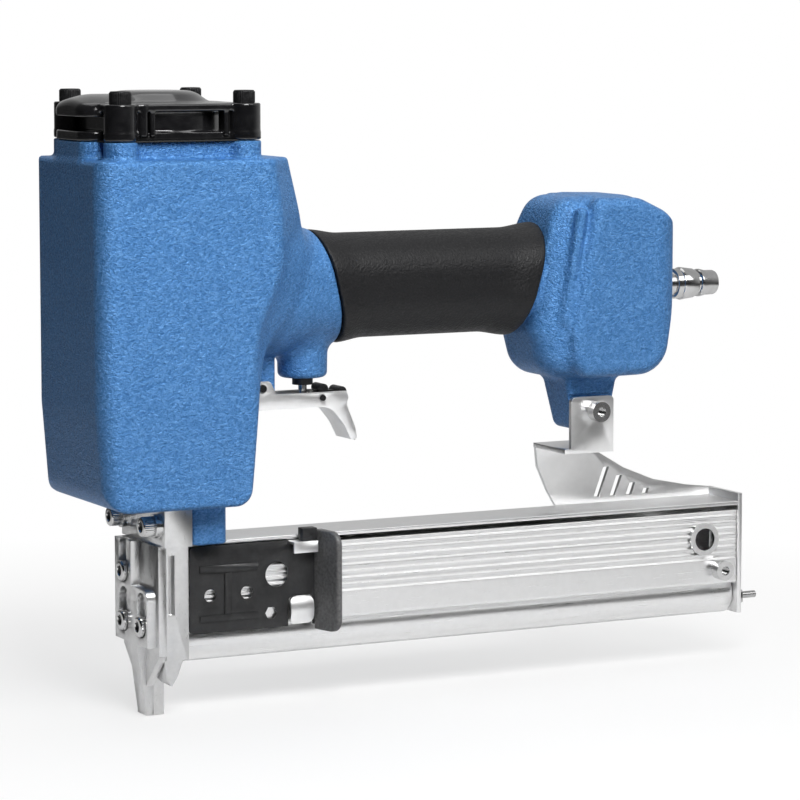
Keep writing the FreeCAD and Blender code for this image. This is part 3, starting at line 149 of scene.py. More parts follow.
def rounded(corners):
    """Points along an outline whose corners are (u, v) or (u, v, radius)."""
    points = []
    for i, corner in enumerate(corners):
        here = Vector(corner[:2])
        if len(corner) < 3:
            points.append(here)
            continue
        back = (Vector(corners[i - 1][:2]) - here).normalized()
        on = (Vector(corners[(i + 1) % len(corners)][:2]) - here).normalized()
        half = back.angle(on) / 2
        centre = here + (back + on).normalized() * corner[2] / math.sin(half)
        first = here + back * corner[2] / math.tan(half) - centre
        last = here + on * corner[2] / math.tan(half) - centre
        for step in range(CORNER_STEPS + 1):
            turn = first.lerp(last, step / CORNER_STEPS).normalized()
            points.append(centre + turn * corner[2])
    return points


def outline(u, v, corners):
    """Signed distance to a closed flat outline."""
    points = rounded(corners)
    shape = np.broadcast(u, v).shape
    square = np.full(shape, 1e9, np.float32)
    inside = np.zeros(shape, bool)
    for a, b in zip(points, points[1:] + points[:1]):
        run = b - a
        if run.length < 1e-6:
            continue
        du, dv = u - a.x, v - a.y
        share = np.clip((du * run.x + dv * run.y) / run.length_squared, 0, 1)
        square = np.minimum(square, (du - share * run.x) ** 2 + (dv - share * run.y) ** 2)
        if abs(run.y) > 1e-9:
            inside ^= ((a.y > v) != (b.y > v)) & (u < run.x * (v - a.y) / run.y + a.x)
    return np.where(inside, -1, 1) * np.sqrt(square)


def rectangle(u, v, low_u, high_u, low_v, high_v, radius):
    middle_u, middle_v = (low_u + high_u) / 2, (low_v + high_v) / 2
    out_u = np.abs(u - middle_u) - (high_u - low_u) / 2 + radius
    out_v = np.abs(v - middle_v) - (high_v - low_v) / 2 + radius
    outside = np.hypot(np.maximum(out_u, 0), np.maximum(out_v, 0))
    return outside + np.minimum(np.maximum(out_u, out_v), 0) - radius


def ease(value, start, end):
    """0 below start, 1 above end, and a smooth rise between them."""
    share = np.clip((value - start) / (end - start), 0, 1)
    return share * share * (3 - 2 * share)


# ---------------------------------------------------------------- finishes


class Tree:
    """A node tree, with short ways to add its nodes."""

    def __init__(self, tree):
        self.nodes = tree.nodes
        self.links = tree.links

    def node(self, kind, inputs=None, **settings):
        """A new node. Each of its inputs is set to a value or fed by another node's output."""
        node = self.nodes.new(kind)
        for key, value in settings.items():
            setattr(node, key, value)
        for socket, value in (inputs or {}).items():
            if isinstance(value, bpy.types.NodeSocket):
                self.link(value, node.inputs[socket])
            else:
                node.inputs[socket].default_value = value
        return node

    def link(self, output, socket):
        self.links.new(output, socket)

    def maths(self, operation, a, b, **settings):
        node = self.node("ShaderNodeMath", {0: a, 1: b}, operation=operation, **settings)
        return node.outputs[0]

    def spread(self, value, from_low, from_high, to_low, to_high):
        """A value moved from one range to another and held inside it."""
        inputs = {0: value, 1: from_low, 2: from_high, 3: to_low, 4: to_high}
        return self.node("ShaderNodeMapRange", inputs, clamp=True).outputs[0]

    def ramp(self, value, stops):
        """Colour by value. Stops are (place, colour)."""
        ramp = self.node("ShaderNodeValToRGB", {"Fac": value})
        while len(ramp.color_ramp.elements) < len(stops):
            ramp.color_ramp.elements.new(0.5)
        for element, (place, colour) in zip(ramp.color_ramp.elements, stops):
            element.position = place
            element.color = (*colour, 1)
        return ramp.outputs["Color"]


class Finish(Tree):
    """A node material. Uniform values are set on the shader, and textures vary the rest."""

    def __init__(self, name, **values):
        self.material = bpy.data.materials.new(name)
        self.material.use_nodes = True
        super().__init__(self.material.node_tree)
        self.shader = self.nodes["Principled BSDF"]
        for socket, value in values.items():
            self.shader.inputs[socket.replace("_", " ")].default_value = value
        self.places = self.node("ShaderNodeTexCoord").outputs["Object"]
        self.bumps = None

    def place(self, stretch):
        """Object coordinates, scaled by a different amount along each axis."""
        if stretch is None:
            return self.places
        inputs = {"Vector": self.places, "Scale": stretch}
        return self.node("ShaderNodeMapping", inputs).outputs["Vector"]

    def noise(self, size, detail=3.0, rough=0.5, swirl=0.0, stretch=None):
        """Noise whose features are about size millimetres across."""
        inputs = {
            "Vector": self.place(stretch), "Scale": 1 / (size * MM),
            "Detail": detail, "Roughness": rough, "Distortion": swirl,
        }
        return self.node("ShaderNodeTexNoise", inputs).outputs["Fac"]

    def grains(self, size):
        """Rounded grains about size millimetres across, high in the middle of each."""
        inputs = {"Vector": self.places, "Scale": 1 / (size * MM), "Smoothness": 0.6}
        cells = self.node("ShaderNodeTexVoronoi", inputs, feature="SMOOTH_F1")
        return self.spread(cells.outputs["Distance"], 0.0, 0.8, 1.0, 0.0)

    def tint(self, value, stops):
        self.link(self.ramp(value, stops), self.shader.inputs["Base Color"])

    def vary_roughness(self, value, low, high):
        self.link(self.spread(value, 0.3, 0.7, low, high), self.shader.inputs["Roughness"])

    def raise_by(self, value, depth, strength):
        """Bump of a depth in millimetres, laid over any earlier bump."""
        inputs = {"Height": value, "Distance": depth * MM, "Strength": strength}
        if self.bumps:
            inputs["Normal"] = self.bumps
        self.bumps = self.node("ShaderNodeBump", inputs).outputs["Normal"]
        self.link(self.bumps, self.shader.inputs["Normal"])


def blue_paint():
    """Hammered metallic paint: short wrinkles, darker in their hollows as painted shade and lighter
    on their crests as painted highlight, with fine flakes.
    """
    paint = Finish(
        "blue_paint", Metallic=0.36, Specular_IOR_Level=0.3, Coat_Weight=0.05, Coat_Roughness=0.25,
    )
    wrinkles = paint.noise(0.95, detail=2.2, rough=0.55, swirl=0.8, stretch=(0.8, 0.8, 1.2))
    # The colour follows the wrinkles' relief: painted shade in the hollows, painted highlight on
    # the crests.
    paint.tint(wrinkles, [
        (0.34, (0.050, 0.185, 0.460)),
        (0.50, (0.086, 0.265, 0.600)),
        (0.66, (0.145, 0.365, 0.740)),
    ])
    paint.vary_roughness(paint.noise(0.6, detail=3.0), 0.30, 0.50)
    paint.raise_by(wrinkles, 1.1, 0.75)
    paint.raise_by(paint.noise(0.6, detail=2.0), 0.12, 0.6)
    return paint.material


def pebbled_rubber():
    """Black rubber with small soft pebbles and pale specks."""
    rubber = Finish("pebbled_rubber", Specular_IOR_Level=0.36)
    speckle = rubber.noise(0.8, detail=4.0)
    rubber.tint(speckle, [
        (0.35, (0.004, 0.004, 0.005)),
        (0.62, (0.009, 0.009, 0.010)),
        (0.80, (0.028, 0.028, 0.029)),
    ])
    rubber.vary_roughness(rubber.noise(2.0), 0.42, 0.58)
    rubber.raise_by(rubber.grains(0.9), 0.18, 0.8)
    rubber.raise_by(rubber.noise(0.35, detail=2.0), 0.05, 0.5)
    return rubber.material


def coating(name, dark, light, mottle, gloss, bump, **values):
    """A paint, plastic or rubber of two mottled tones. Each of mottle, gloss and bump begins
    with a noise's size and detail. A range of roughness, or a depth and strength, follows."""
    coat = Finish(name, **values)
    coat.tint(coat.noise(*mottle), [(0.30, dark), (0.75, light)])
    coat.vary_roughness(coat.noise(*gloss[:2]), *gloss[2:])
    coat.raise_by(coat.noise(*bump[:2]), *bump[2:])
    return coat.material


def black_plate():
    """Blackened steel sheet with faint rolling lines and rubbed spots."""
    plate = Finish("black_plate", Metallic=0.25)
    plate.tint(plate.noise(5.0, detail=6.0, rough=0.65), [
        (0.25, (0.020, 0.020, 0.021)),
        (0.60, (0.034, 0.034, 0.035)),
        (0.85, (0.060, 0.060, 0.060)),
    ])
    plate.vary_roughness(plate.noise(2.0, detail=5.0), 0.30, 0.50)
    plate.raise_by(plate.noise(0.7, stretch=(0.15, 1, 1)), 0.015, 0.5)
    return plate.material


def metal(name, dark, light, rough, lines=None, pits=0.0, mottle=3.0):
    """Bare metal. rough is its range of roughness, and lines the stretch of its brushing."""
    bare = Finish(name, Metallic=1.0)
    tones = [(0.28, (dark,) * 3), (0.72, (light,) * 3)]
    bare.tint(bare.noise(mottle, detail=5.0, rough=0.6), tones)
    streaks = bare.noise(0.5, detail=4.0, rough=0.7, stretch=lines)
    bare.vary_roughness(streaks, *rough)
    if lines:
        bare.raise_by(streaks, 0.004, 0.5)
    if pits:
        bare.raise_by(bare.noise(0.7, detail=3.0, rough=0.6), pits, 0.6)
    return bare.material


FINISHES = {
    "painted_casting": blue_paint(),
    "grip_rubber": pebbled_rubber(),
    "plated_steel": metal("plated_steel", 0.54, 0.62, (0.10, 0.22), pits=0.008),
    "black_casting": coating(
        "gloss_black_paint", (0.006, 0.006, 0.007), (0.014, 0.014, 0.015),
        mottle=(6.0, 5.0), gloss=(3.0, 5.0, 0.14, 0.26), bump=(1.6, 2.0, 0.05, 0.35),
        Coat_Weight=0.6, Coat_Roughness=0.05,
    ),
    "seal_rubber": coating(
        "smooth_rubber", (0.012, 0.012, 0.012), (0.026, 0.026, 0.026),
        mottle=(1.0, 3.0), gloss=(1.5, 3.0, 0.5, 0.7), bump=(0.4, 3.0, 0.02, 0.5),
    ),
    "black_steel": coating(
        "black_oxide_steel", (0.010, 0.010, 0.011), (0.040, 0.040, 0.042),
        mottle=(0.9, 5.0), gloss=(0.6, 3.0, 0.28, 0.46), bump=(0.3, 3.0, 0.02, 0.4),
        Metallic=0.55,
    ),
    "bare_aluminium": metal("turned_aluminium", 0.66, 0.78, (0.20, 0.34), lines=(1, 1, 0.1)),
    "tool_steel": metal("ground_steel", 0.50, 0.56, (0.26, 0.34), lines=(1, 1, 0.06)),
    "black_plastic": coating(
        "black_moulding", (0.010, 0.010, 0.011), (0.024, 0.024, 0.026),
        mottle=(1.5, 4.0), gloss=(1.0, 3.0, 0.34, 0.50), bump=(0.5, 3.0, 0.03, 0.5),
    ),
    "spring_steel": metal("spring_wire", 0.38, 0.50, (0.18, 0.30), mottle=1.5),
    "cast_steel": metal("cast_steel", 0.64, 0.72, (0.26, 0.36), lines=(1, 1, 0.10), pits=0.02),
    "magazine_aluminium": metal("extruded_aluminium", 0.80, 0.84, (0.26, 0.34), lines=(0.03, 1, 1)),
    "sheet_steel": metal("stainless_sheet", 0.86, 0.90, (0.32, 0.40), lines=(0.08, 1, 0.3)),
    "blackened_steel": black_plate(),
    "guard_casting": coating(
        "grey_casting", (0.110, 0.110, 0.111), (0.200, 0.200, 0.201),
        mottle=(1.2, 4.0), gloss=(0.8, 3.0, 0.34, 0.52), bump=(0.7, 3.0, 0.05, 0.6),
        Metallic=0.2,
    ),
    "trigger_steel": metal("trigger_steel", 0.90, 0.95, (0.34, 0.42), pits=0.012),
}


def finish(thing, slot):
    thing.data.materials.clear()
    thing.data.materials.append(FINISHES[slot])


def stand_for(piece, body, slot, *nodes):
    """A new piece in place of CAD nodes, riding on their body."""
    finish(piece, slot)
    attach(piece, body)
    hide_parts(*nodes)


# ---------------------------------------------------------------- housing

BODY_FRONT, BODY_LOW, BODY_TOP = -34.5, 86, 222.0
BODY_HALF = 35.0
LEAN_FROM, LEAN = 125, 0.077
CHAMFER_SLOPE = 0.7071
COLLAR_TOP = 229.0
BOLT_MIDDLE, BOLT_REACH = 4, 26
BOLTS = [
    (BOLT_MIDDLE + BOLT_REACH * a, BOLT_REACH * b) for a in (-1, 1) for b in (-1, 1)
]
BOLT_HOLE = 2.7
VALVE_X = 67.0
TRIGGER_PIN = (46.2, 128.8)
FLANGE_BACK, FLANGE_TOP = 8.7, 85.9

# The handle is a core under the rubber sleeve, whose slanted ends are lines in the side view.
HANDLE_HEIGHT = 168.5
GRIP_TALL, GRIP_WIDE = 43.5, 36.0
CORE_TALL, CORE_WIDE = 38.5, 31
CORE_FIT = 0.2
GRIP_FRONT = ((69.5, 190.2), (79.8, 146.8))
GRIP_REAR = ((173.0, 190.2), (160.8, 146.8))


def scallop(block, grow=0.0):
    """Plan of the collar and the cap: four bolt posts with a drum and a hood between them."""
    x, y = block.x, block.y
    plan = rectangle(x, y, -20, 31, -27.5 - grow, 27.5 + grow, 3)
    plan = either(plan, rectangle(x, y, -33.5 - grow, 0, -17.5 - grow, 17.5 + grow, 7), 3)
    for bolt in BOLTS:
        plan = either(plan, disc(x, y, bolt, 6.6 + grow), 2.0)
    return plan


def behind(x, z, line):
    """Distance past a slanted line in the side view, positive towards the rear."""
    (x0, z0), (x1, z1) = line
    run = math.hypot(x1 - x0, z1 - z0)
    return ((x - x0) * (z0 - z1) + (z - z0) * (x1 - x0)) / run


def handle_core(block, grow=0.0):
    """The bar inside the grip, without its ends."""
    middle = (0, HANDLE_HEIGHT)
    return oblong(block.y, block.z, middle, CORE_WIDE + grow, CORE_TALL + grow)


def head_shape(block):
    """The cylinder head: flat sides, round front corners and a long chamfer at each rear edge."""
    x, y, z = block.x, block.y, block.z
    side = outline(x, z, [
        (BODY_FRONT, BODY_TOP, 2.5), (BODY_FRONT, LEAN_FROM, 60), (-31.5, BODY_LOW, 10),
        (29.0, BODY_LOW, 7), (31.5, 110, 40), (35.5, 140, 30), (50, 163, 18), (59, 186, 10),
        (58, 197, 12), (51.5, 218, 3), (50, BODY_TOP, 2),
    ])
    head = slab(side, y, -BODY_HALF, BODY_HALF, 2.2)
    lean = np.maximum(0, LEAN_FROM - z) * LEAN
    front = both(BODY_FRONT + lean - x, np.abs(y) - BODY_HALF, 7.8)
    edge = 30.8 + 11.2 * ease(z, 146, 184) - 3.2 * ease(z, 196, 224)
    chamfer = (x - edge + np.abs(y) - BODY_HALF) * CHAMFER_SLOPE
    return both(np.maximum(head, front), chamfer, 1.6)


def root_shape(block):
    """Where the handle grows out of the head, with the trigger valve's boss under it."""
    x, y, z = block.x, block.y, block.z
    swell = 5.5 * (1 - ease(x, 46, 78))
    tube = oblong(y, z, (0, HANDLE_HEIGHT), GRIP_WIDE + 1.2, GRIP_TALL + 1.2) - swell
    root = np.maximum(both(tube, behind(x, z, GRIP_FRONT) + 0.25, 1.0), 20 - x)
    boss = slab(disc(x, y, (VALVE_X, 0), 10.0 + 0.02 * (z - 132)), z, 132, 165, 2.2)
    lug = slab(rectangle(x, z, 20, 53.0, 124.8, 148.6, 3), y, -4.6, 4.6, 0.8)
    core = np.maximum(handle_core(block), between(x, 40, 100))
    return either(either(either(root, boss, 5.0), lug, 1.5), core)


def make_housing():
    block = Block((-35, -36, 69), (101, 36, 230))
    x, y, z = block.x, block.y, block.z
    body = either(head_shape(block), root_shape(block), 9.0)
    collar = slab(scallop(block), z, 214, COLLAR_TOP, 0.5)
    body = either(body, collar, 1.8)
    neck = slab(rectangle(x, y, 8.8, 24, -22, 22, 3), z, 69.8, 92, 0.6)
    body = either(body, neck, 2.5)
    slot = slab(disc(x, y, (VALVE_X, 0), 4.5), z, 128, 134)
    body = without(body, slot, 0.4)
    pivot = slab(disc(x, z, TRIGGER_PIN, 2.1), y, -6, 6)
    flange = np.maximum(np.maximum(x - FLANGE_BACK, z - FLANGE_TOP), np.abs(y) - 60)
    body = without(without(body, pivot), flange)
    body = np.maximum(body, BODY_FRONT - x)
    stand_for(block.mesh("housing_casting", body), "tool", "painted_casting", "housing")


# ---------------------------------------------------------------- rear block and grip

AIR_HEIGHT = 163.5
BRACKET_BOLT = (196.9, 112.6)
BULB_HALF = 23
PANEL_HALF = 25.6


def rear_bulb(block):
    """A bulb round the grip's end, with a raised flat panel behind it and a rib on each side."""
    x, y, z = block.x, block.y, block.z
    whole = outline(x, z, [
        (171, 189, 4), (179.0, 202.8, 12), (212, 201.8, 14), (230.6, 193, 14), (229.8, 165, 60),
        (224, 128.2, 14), (178, 127, 14), (170, 130.5, 12), (165.5, 147, 8),
    ])
    half = 18.0 + 5.0 * ease(behind(x, z, GRIP_REAR), -1, 17)
    bulb = both(slab(whole, y, -BULB_HALF, BULB_HALF, 14), np.abs(y) - half, 6)
    raised = outline(x, z, [
        (189.5, 202.6, 6), (212, 202, 14), (230.8, 193.2, 14), (230.0, 165, 60), (224.4, 128, 14),
        (181, 127.4, 10), (178, 146, 12),
    ])
    plan = rectangle(x, y, 150, 231.0, -PANEL_HALF, PANEL_HALF, 11)
    panel = both(slab(raised, y, -PANEL_HALF, PANEL_HALF, 5.0), plan)
    body = either(bulb, panel, 3.0)
    for side in (-1, 1):
        rib = capsule(block, (184.6, side * 21.4, 196), (177.6, side * 20.2, 152), 2.5)
        body = either(body, rib, 2.2)
    return body


def rear_foot(block):
    """The foot that the magazine's bracket is bolted to."""
    x, y, z = block.x, block.y, block.z
    foot = outline(x, z, [
        (182, 134), (189, 104.2, 4), (203, 103.8, 3), (206, 112, 6), (210, 134),
    ])
    tapered = np.abs(y) - 9.5 - 0.06 * (z - 103)
    return both(both(foot, tapered, 2.0), between(x, 180, 212))


def make_rear_block():
    """The rear casting. It stops at the grip's slanted end, and its core runs on inside."""
    block = Block((160, -27, 102), (234, 27, 205))
    x, y, z = block.x, block.y, block.z
    body = either(rear_bulb(block), rear_foot(block), 3.5)
    bracket_seat = slab(rectangle(x, z, 184.4, 206.2, 101, 119.4, 1.5), y, -30, -9.4)
    body = without(body, bracket_seat, 0.4)
    body = both(body, 0.3 - behind(x, z, GRIP_REAR), 0.8)
    core = np.maximum(handle_core(block), between(x, 160, 186))
    body = either(body, core)
    bolt = slab(disc(x, z, BRACKET_BOLT, BOLT_HOLE), y, -30, 6)
    port = slab(disc(y, z, (0, AIR_HEIGHT), 6.2), x, 226, 240)
    piece = block.mesh("rear_casting", without(without(body, bolt), port))
    stand_for(piece, "tool", "painted_casting", "handle_end_block")


def make_grip():
    """The rubber sleeve, which flares a little at both of its slanted ends."""
    block = Block((68, -21, 144), (177, 21, 193), 0.5)
    x, y, z = block.x, block.y, block.z
    front, rear = behind(x, z, GRIP_FRONT), behind(x, z, GRIP_REAR)
    flare = 1.7 * (1 - ease(front, 0, 13)) + 1.9 * ease(rear, -15, 0)
    outer = oblong(y, z, (0, HANDLE_HEIGHT), GRIP_WIDE - 0.6, GRIP_TALL - 0.6) - flare
    sleeve = both(both(outer, -front + 0.15, 1.0), rear + 0.15, 1.0)
    piece = block.mesh("rubber_grip", without(sleeve, handle_core(block, CORE_FIT)))
    stand_for(piece, "tool", "grip_rubber", "grip_sleeve")


# ---------------------------------------------------------------- cap

CAP_LOW, CAP_TOP = 229.5, 243.5
RIB_LOW, RIB_OUT = 231, 25.5


def hood_shape(block):
    """The exhaust hood at the front of the cap, and the apron under it."""
    x, y, z = block.x, block.y, block.z
    top = 247.0 - 0.011 * y * y - 0.018 * np.maximum(-22 - x, 0) ** 2
    hood = slab(rectangle(x, y, -33.9, 0, -17.5, 17.5, 8), z, 238.4, 400)
    hood = both(hood, z - top, 2.4)
    apron = slab(rectangle(x, y, -33.3, 0, -16.8, 16.8, 7), z, CAP_LOW, 239, 0.5)
    return either(hood, apron)


def make_cap():
    """The head cap: a drum, a rim, ribs and posts, a dome, and the exhaust hood in front."""
    block = Block((-35, -33.5, 229), (38, 33.5, 249), 0.4)
    x, y, z = block.x, block.y, block.z
    base = slab(scallop(block, -0.3), z, CAP_LOW, 232.6, 0.5)
    drum = slab(disc(x, y, (3, 0), 27.0), z, CAP_LOW, CAP_TOP, 0.5)
    cap = either(base, drum, 0.8)
    flange = slab(rectangle(x, y, -27, 32, -29, 29, 6), z, 240.6, CAP_TOP, 0.7)
    cap = either(cap, flange, 0.6)
    for side in (-1, 1):
        for rib_x in (-9.5, 21.5):
            middle = side * RIB_OUT
            plan = rectangle(x, y, rib_x - 1, rib_x + 1, middle - 3.2, middle + 3.2, 0.6)
            rib = slab(plan, z, RIB_LOW, 242)
            cap = either(cap, rib, 0.6)
        post_rib = slab(disc(x, y, (-13.4, side * 27.6), 2.0), z, RIB_LOW, CAP_TOP, 0.5)
        cap = either(cap, post_rib, 0.6)
    for bolt in BOLTS:
        cap = either(cap, slab(disc(x, y, bolt, 6.4), z, CAP_LOW, CAP_TOP, 0.6), 0.7)
    slope = np.hypot(x - 3, y) - 22 + 1.45 * (z - CAP_TOP)
    dome = both(slope * 0.57, between(z, 240, 248.1), 1.6)
    cap = either(cap, dome, 1.2)
    slot = slab(rectangle(x, y, -40, -22, -18.5, 18.5, 2), z, 233.0, 238.5)
    cap = without(either(cap, hood_shape(block), 1.0), slot, 0.4)
    for bolt in BOLTS:
        cap = without(cap, slab(disc(x, y, bolt, BOLT_HOLE), z, 225, 250))
    stand_for(block.mesh("cap_casting", cap), "tool", "black_casting", "head_cap")


# ---------------------------------------------------------------- magazine and finger guard

RAIL_HALF = 12
FLUTE_LOW, FLUTE_PITCH, FLUTE_COUNT, FLUTE_RADIUS = 45.9, 2.66, 8, 0.75
RAIL_HOLES = (((251.2, 54.3), 5.6), ((259.4, 40.6), 3.0))
GUARD_INNER, GUARD_OUT = 13.6, 14


def make_magazine():
    """The extrusion: thin walls, a round spring tube under them and flutes along the near wall."""
    block = Block((8.6, -13, 18), (268.4, 13, 70), 0.35, 1.6)
    x, y, z = block.x, block.y, block.z
    walls = rectangle(y, z, -RAIL_HALF, RAIL_HALF, 34.2, 68, 1.2)
    walls = without(walls, rectangle(y, z, -10, 10, 37, 90, 1.0), 0.2)
    walls = without(walls, np.maximum(y, 66 - z), 0.3)
    row = np.clip(np.round((z - FLUTE_LOW) / FLUTE_PITCH), 0, FLUTE_COUNT - 1)
    groove = np.hypot(y + 12.15, z - FLUTE_LOW - row * FLUTE_PITCH) - FLUTE_RADIUS
    walls = without(walls, groove, 0.15)
    tube = without(disc(y, z, (0, 29), 9.0), disc(y, z, (0, 26.2), 4.3))
    body = np.maximum(either(walls, tube, 0.3), between(x, 8.8, 268.3))
    for at, radius in RAIL_HOLES:
        body = without(body, slab(disc(x, z, at, radius), y, -14, -8))
    piece = block.mesh("magazine_extrusion", body)
    stand_for(piece, "tool", "magazine_aluminium", "magazine_rail")


def make_guard():
    """The finger guard, a plate that leans back and has a rounded outer edge."""
    block = Block((64, -29, 29), (74, -12, 73), 0.3)
    x, y, z = block.x, block.y, block.z
    out = (-GUARD_INNER - y) / GUARD_OUT
    lean, thick = 65.5 + 3.8 * out, 4.0 - 1.6 * out
    plate = slab(rectangle(y, z, -27.6, 0, 30.8, 71.6, 5.5), x - lean, 0, thick, 0.8)
    piece = block.mesh("finger_guard", np.maximum(plate, y + GUARD_INNER))
    stand_for(piece, "pusher", "guard_casting", "pusher_guard")


# ---------------------------------------------------------------- turned and screwed parts


PLUG_RINGS = [
    (226, 2.7), (226, 6.1), (233.0, 6.1), (233.1, 6.9), (234.0, 7.2), (235.6, 7.2),
    (236.0, 6.6), (236.4, 5.3), (241.0, 5.3), (241.3, 6.1), (241.6, 6.4), (244.2, 6.4),
    (244.6, 6.8), (245.2, 7.0), (251.2, 6.2), (251.9, 5.9), (252.3, 5.3), (252.6, 5.1),
    (253.2, 5.1), (253.5, 5.5), (254.0, 5.9), (255.0, 5.9), (257.4, 5.3), (261.4, 5.2),
    (262.1, 4.9), (262.4, 4.3), (262.4, 3.1), (262.0, 2.8), (230, 2.7),
]
PLUG_SIDES = 72
HEAD_TALL = 5.0
SHANK_LONG = 9.0
KNURLS, KNURL_DEEP = 30, 0.965
PLUG_EDGE, SCREW_EDGE = 32, 28


def ringed(name, centre, axis, rings):
    """A closed body of rings round an axis. A ring is (distance along it, each point's reach)."""
    turn = Vector((0, 0, 1)).rotation_difference(Vector(axis)).to_matrix().to_4x4()
    place = Matrix.Translation(Vector(centre)) @ turn
    count = len(rings[0][1])
    points, faces = [], []
    for along, reaches in rings:
        for i, reach in enumerate(reaches):
            angle = math.tau * i / count
            point = Vector((reach * math.cos(angle), reach * math.sin(angle), along))
            points.append(tuple((place @ point) * MM))
    for ring in range(len(rings) - 1):
        for i in range(count):
            a, b = ring * count + i, ring * count + (i + 1) % count
            faces.append((a, b, b + count, a + count))
    last = (len(rings) - 1) * count
    faces.append(tuple(range(count - 1, -1, -1)))
    faces.append(tuple(range(last, last + count)))
    return new_object(name, points, faces)


def sharpen(thing, degrees):
    """Smooth shading, except across edges sharper than an angle."""
    bpy.context.view_layer.objects.active = thing
    thing.select_set(True)
    bpy.ops.object.shade_smooth_by_angle(angle=math.radians(degrees))
    thing.select_set(False)
    return thing


def make_plug():
    """The push-fit air plug: a collar, a ridge, a groove and a flared nose round a bore."""
    rings = [(along, [radius] * PLUG_SIDES) for along, radius in PLUG_RINGS]
    piece = ringed("air_nipple", (0, 0, AIR_HEIGHT), (1, 0, 0), rings)
    stand_for(sharpen(piece, PLUG_EDGE), "tool", "plated_steel", "air_plug")


def screw_rings(radius, socket):
    """The rings of a socket screw, from the end of its shank to the floor of its socket."""
    count = KNURLS * 4
    even = [1.0] * count
    knurled = [1.0 if i % 4 < 2 else KNURL_DEEP for i in range(count)]
    angles = [(math.tau * i / count) % (math.pi / 3) - math.pi / 6 for i in range(count)]
    hexagon = [1.0 / math.cos(angle) for angle in angles]
    top = HEAD_TALL
    profile = [
        (-SHANK_LONG, radius * 0.58, even), (-0.02, radius * 0.58, even),
        (0, radius * 0.96, even), (0.25, radius, knurled), (top - 0.7, radius, knurled),
        (top - 0.55, radius * 0.97, even), (top - 0.1, radius * 0.90, even),
        (top, radius * 0.82, even), (top, socket * 1.12, even), (top - 0.35, socket, hexagon),
        (top - 2.6, socket, hexagon), (top - 3.2, 0.3, even),
    ]
    return [(along, [size * share for share in shape]) for along, size, shape in profile]


def joined(name, pieces):
    """Several meshes as one object."""
    points, faces = [], []
    for piece in pieces:
        start = len(points)
        points += [tuple(v.co) for v in piece.data.vertices]
        faces += [tuple(start + i for i in p.vertices) for p in piece.data.polygons]
        bpy.data.objects.remove(piece)
    return sharpen(new_object(name, points, faces), SCREW_EDGE)


SCREWS = {
    # piece: (CAD node, slot, axis, radius of the head, distance to the socket's flats, seats)
    "cap_socket_screws": (
        "cap_screws", "black_steel", (0, 0, 1), 4.3, 2.1,
        [(x, y, CAP_TOP + 0.02) for x, y in BOLTS],
    ),
    "flange_socket_screws": (
        "flange_fixings", "plated_steel", (-1, 0, 0), 4.0, 2.0,
        [(-6.2, side * 16.5, 78) for side in (-1, 1)],
    ),
    "nose_socket_screws": (
        "nose_fixings", "plated_steel", (-1, 0, 0), 4.1, 2.0,
        [(-4.9, y, z) for y, z in ((9, 57), (9, 37), (-9, 37))],
    ),
}


def make_screws():
    for name, (node, slot, axis, radius, socket, seats) in SCREWS.items():
        rings = screw_rings(radius, socket)
        screws = [ringed("screw", seat, axis, rings) for seat in seats]
        stand_for(joined(name, screws), "tool", slot, node)


# ---------------------------------------------------------------- kept CAD nodes


WELD_REACH = 0.002
BEVEL_WIDTH, BEVEL_ANGLE = 0.25, 40
SOFT_EDGED = (
    "nose_body", "nose_front_plate", "pusher_side_plate", "pusher_arm", "pusher_thumb_pad",
    "rear_bracket", "trigger", "rod_nut", "magazine_top_plate",
)


def soften(node):
    """A small bevel along a CAD node's sharp edges."""
    thing = frame["nodes"][node]
    weld = thing.modifiers.new("weld", "WELD")
    weld.merge_threshold = WELD_REACH * MM
    bevel = thing.modifiers.new("bevel", "BEVEL")
    bevel.width = BEVEL_WIDTH * MM
    bevel.segments = 2
    bevel.limit_method = "ANGLE"
    bevel.angle_limit = math.radians(BEVEL_ANGLE)
    bevel.harden_normals = True


def finish_nodes():
    """Every CAD node gets the finish of its slot."""
    for part in frame["record"]["subparts"]:
        finish(frame["nodes"][part["node"]], part["material_slot"])


# ---------------------------------------------------------------- stage

CAMERA_PLACE = (-0.5262, -1.2514, 0.2790)
CAMERA_AIM = (0.45112, 0.88537, -0.11234)
LENS, SENSOR = 154.8, 36
MIDDLE = (0.09, 0, 0.13)
ROOM_STRENGTH = 0.50
ROOM_GREYS = ((0.0, 0.02), (0.40, 0.05), (0.58, 0.10), (0.70, 0.40), (0.84, 1.0), (1.0, 1.0))
BRIGHT_SIDE = (0.75, 0.45, 0.48)
FLOOR_SIDES, FLOOR_RADIUS, FLOOR_LEVEL = 96, 4.0, -0.0003
FLOOR_PALE, FLOOR_DIM = 0.93, 0.14
LAMPS = {
    "key": ((-0.06, -0.75, 0.80), 0.45, 9),
    "right": ((1.1, -1.3, 1.3), 0.9, 7),
    "top": ((0.1, 0.4, 1.7), 1.2, 5),
}


def place_camera():
    camera = bpy.data.cameras.new("camera")
    camera.lens = LENS
    camera.sensor_width = SENSOR
    camera.clip_end = 20
    thing = bpy.data.objects.new("camera", camera)
    thing.location = CAMERA_PLACE
    thing.rotation_euler = Vector(CAMERA_AIM).to_track_quat("-Z", "Y").to_euler()
    bpy.context.scene.collection.objects.link(thing)
    bpy.context.scene.camera = thing


def soft_lamp(name, place, size, power):
    """A square area lamp aimed at the middle of the object."""
    light = bpy.data.lights.new(name, "AREA")
    light.size = size
    light.energy = power
    lamp = bpy.data.objects.new(name, light)
    lamp.location = place
    aim = Vector(MIDDLE) - Vector(place)
    lamp.rotation_euler = aim.to_track_quat("-Z", "Y").to_euler()
    bpy.context.scene.collection.objects.link(lamp)


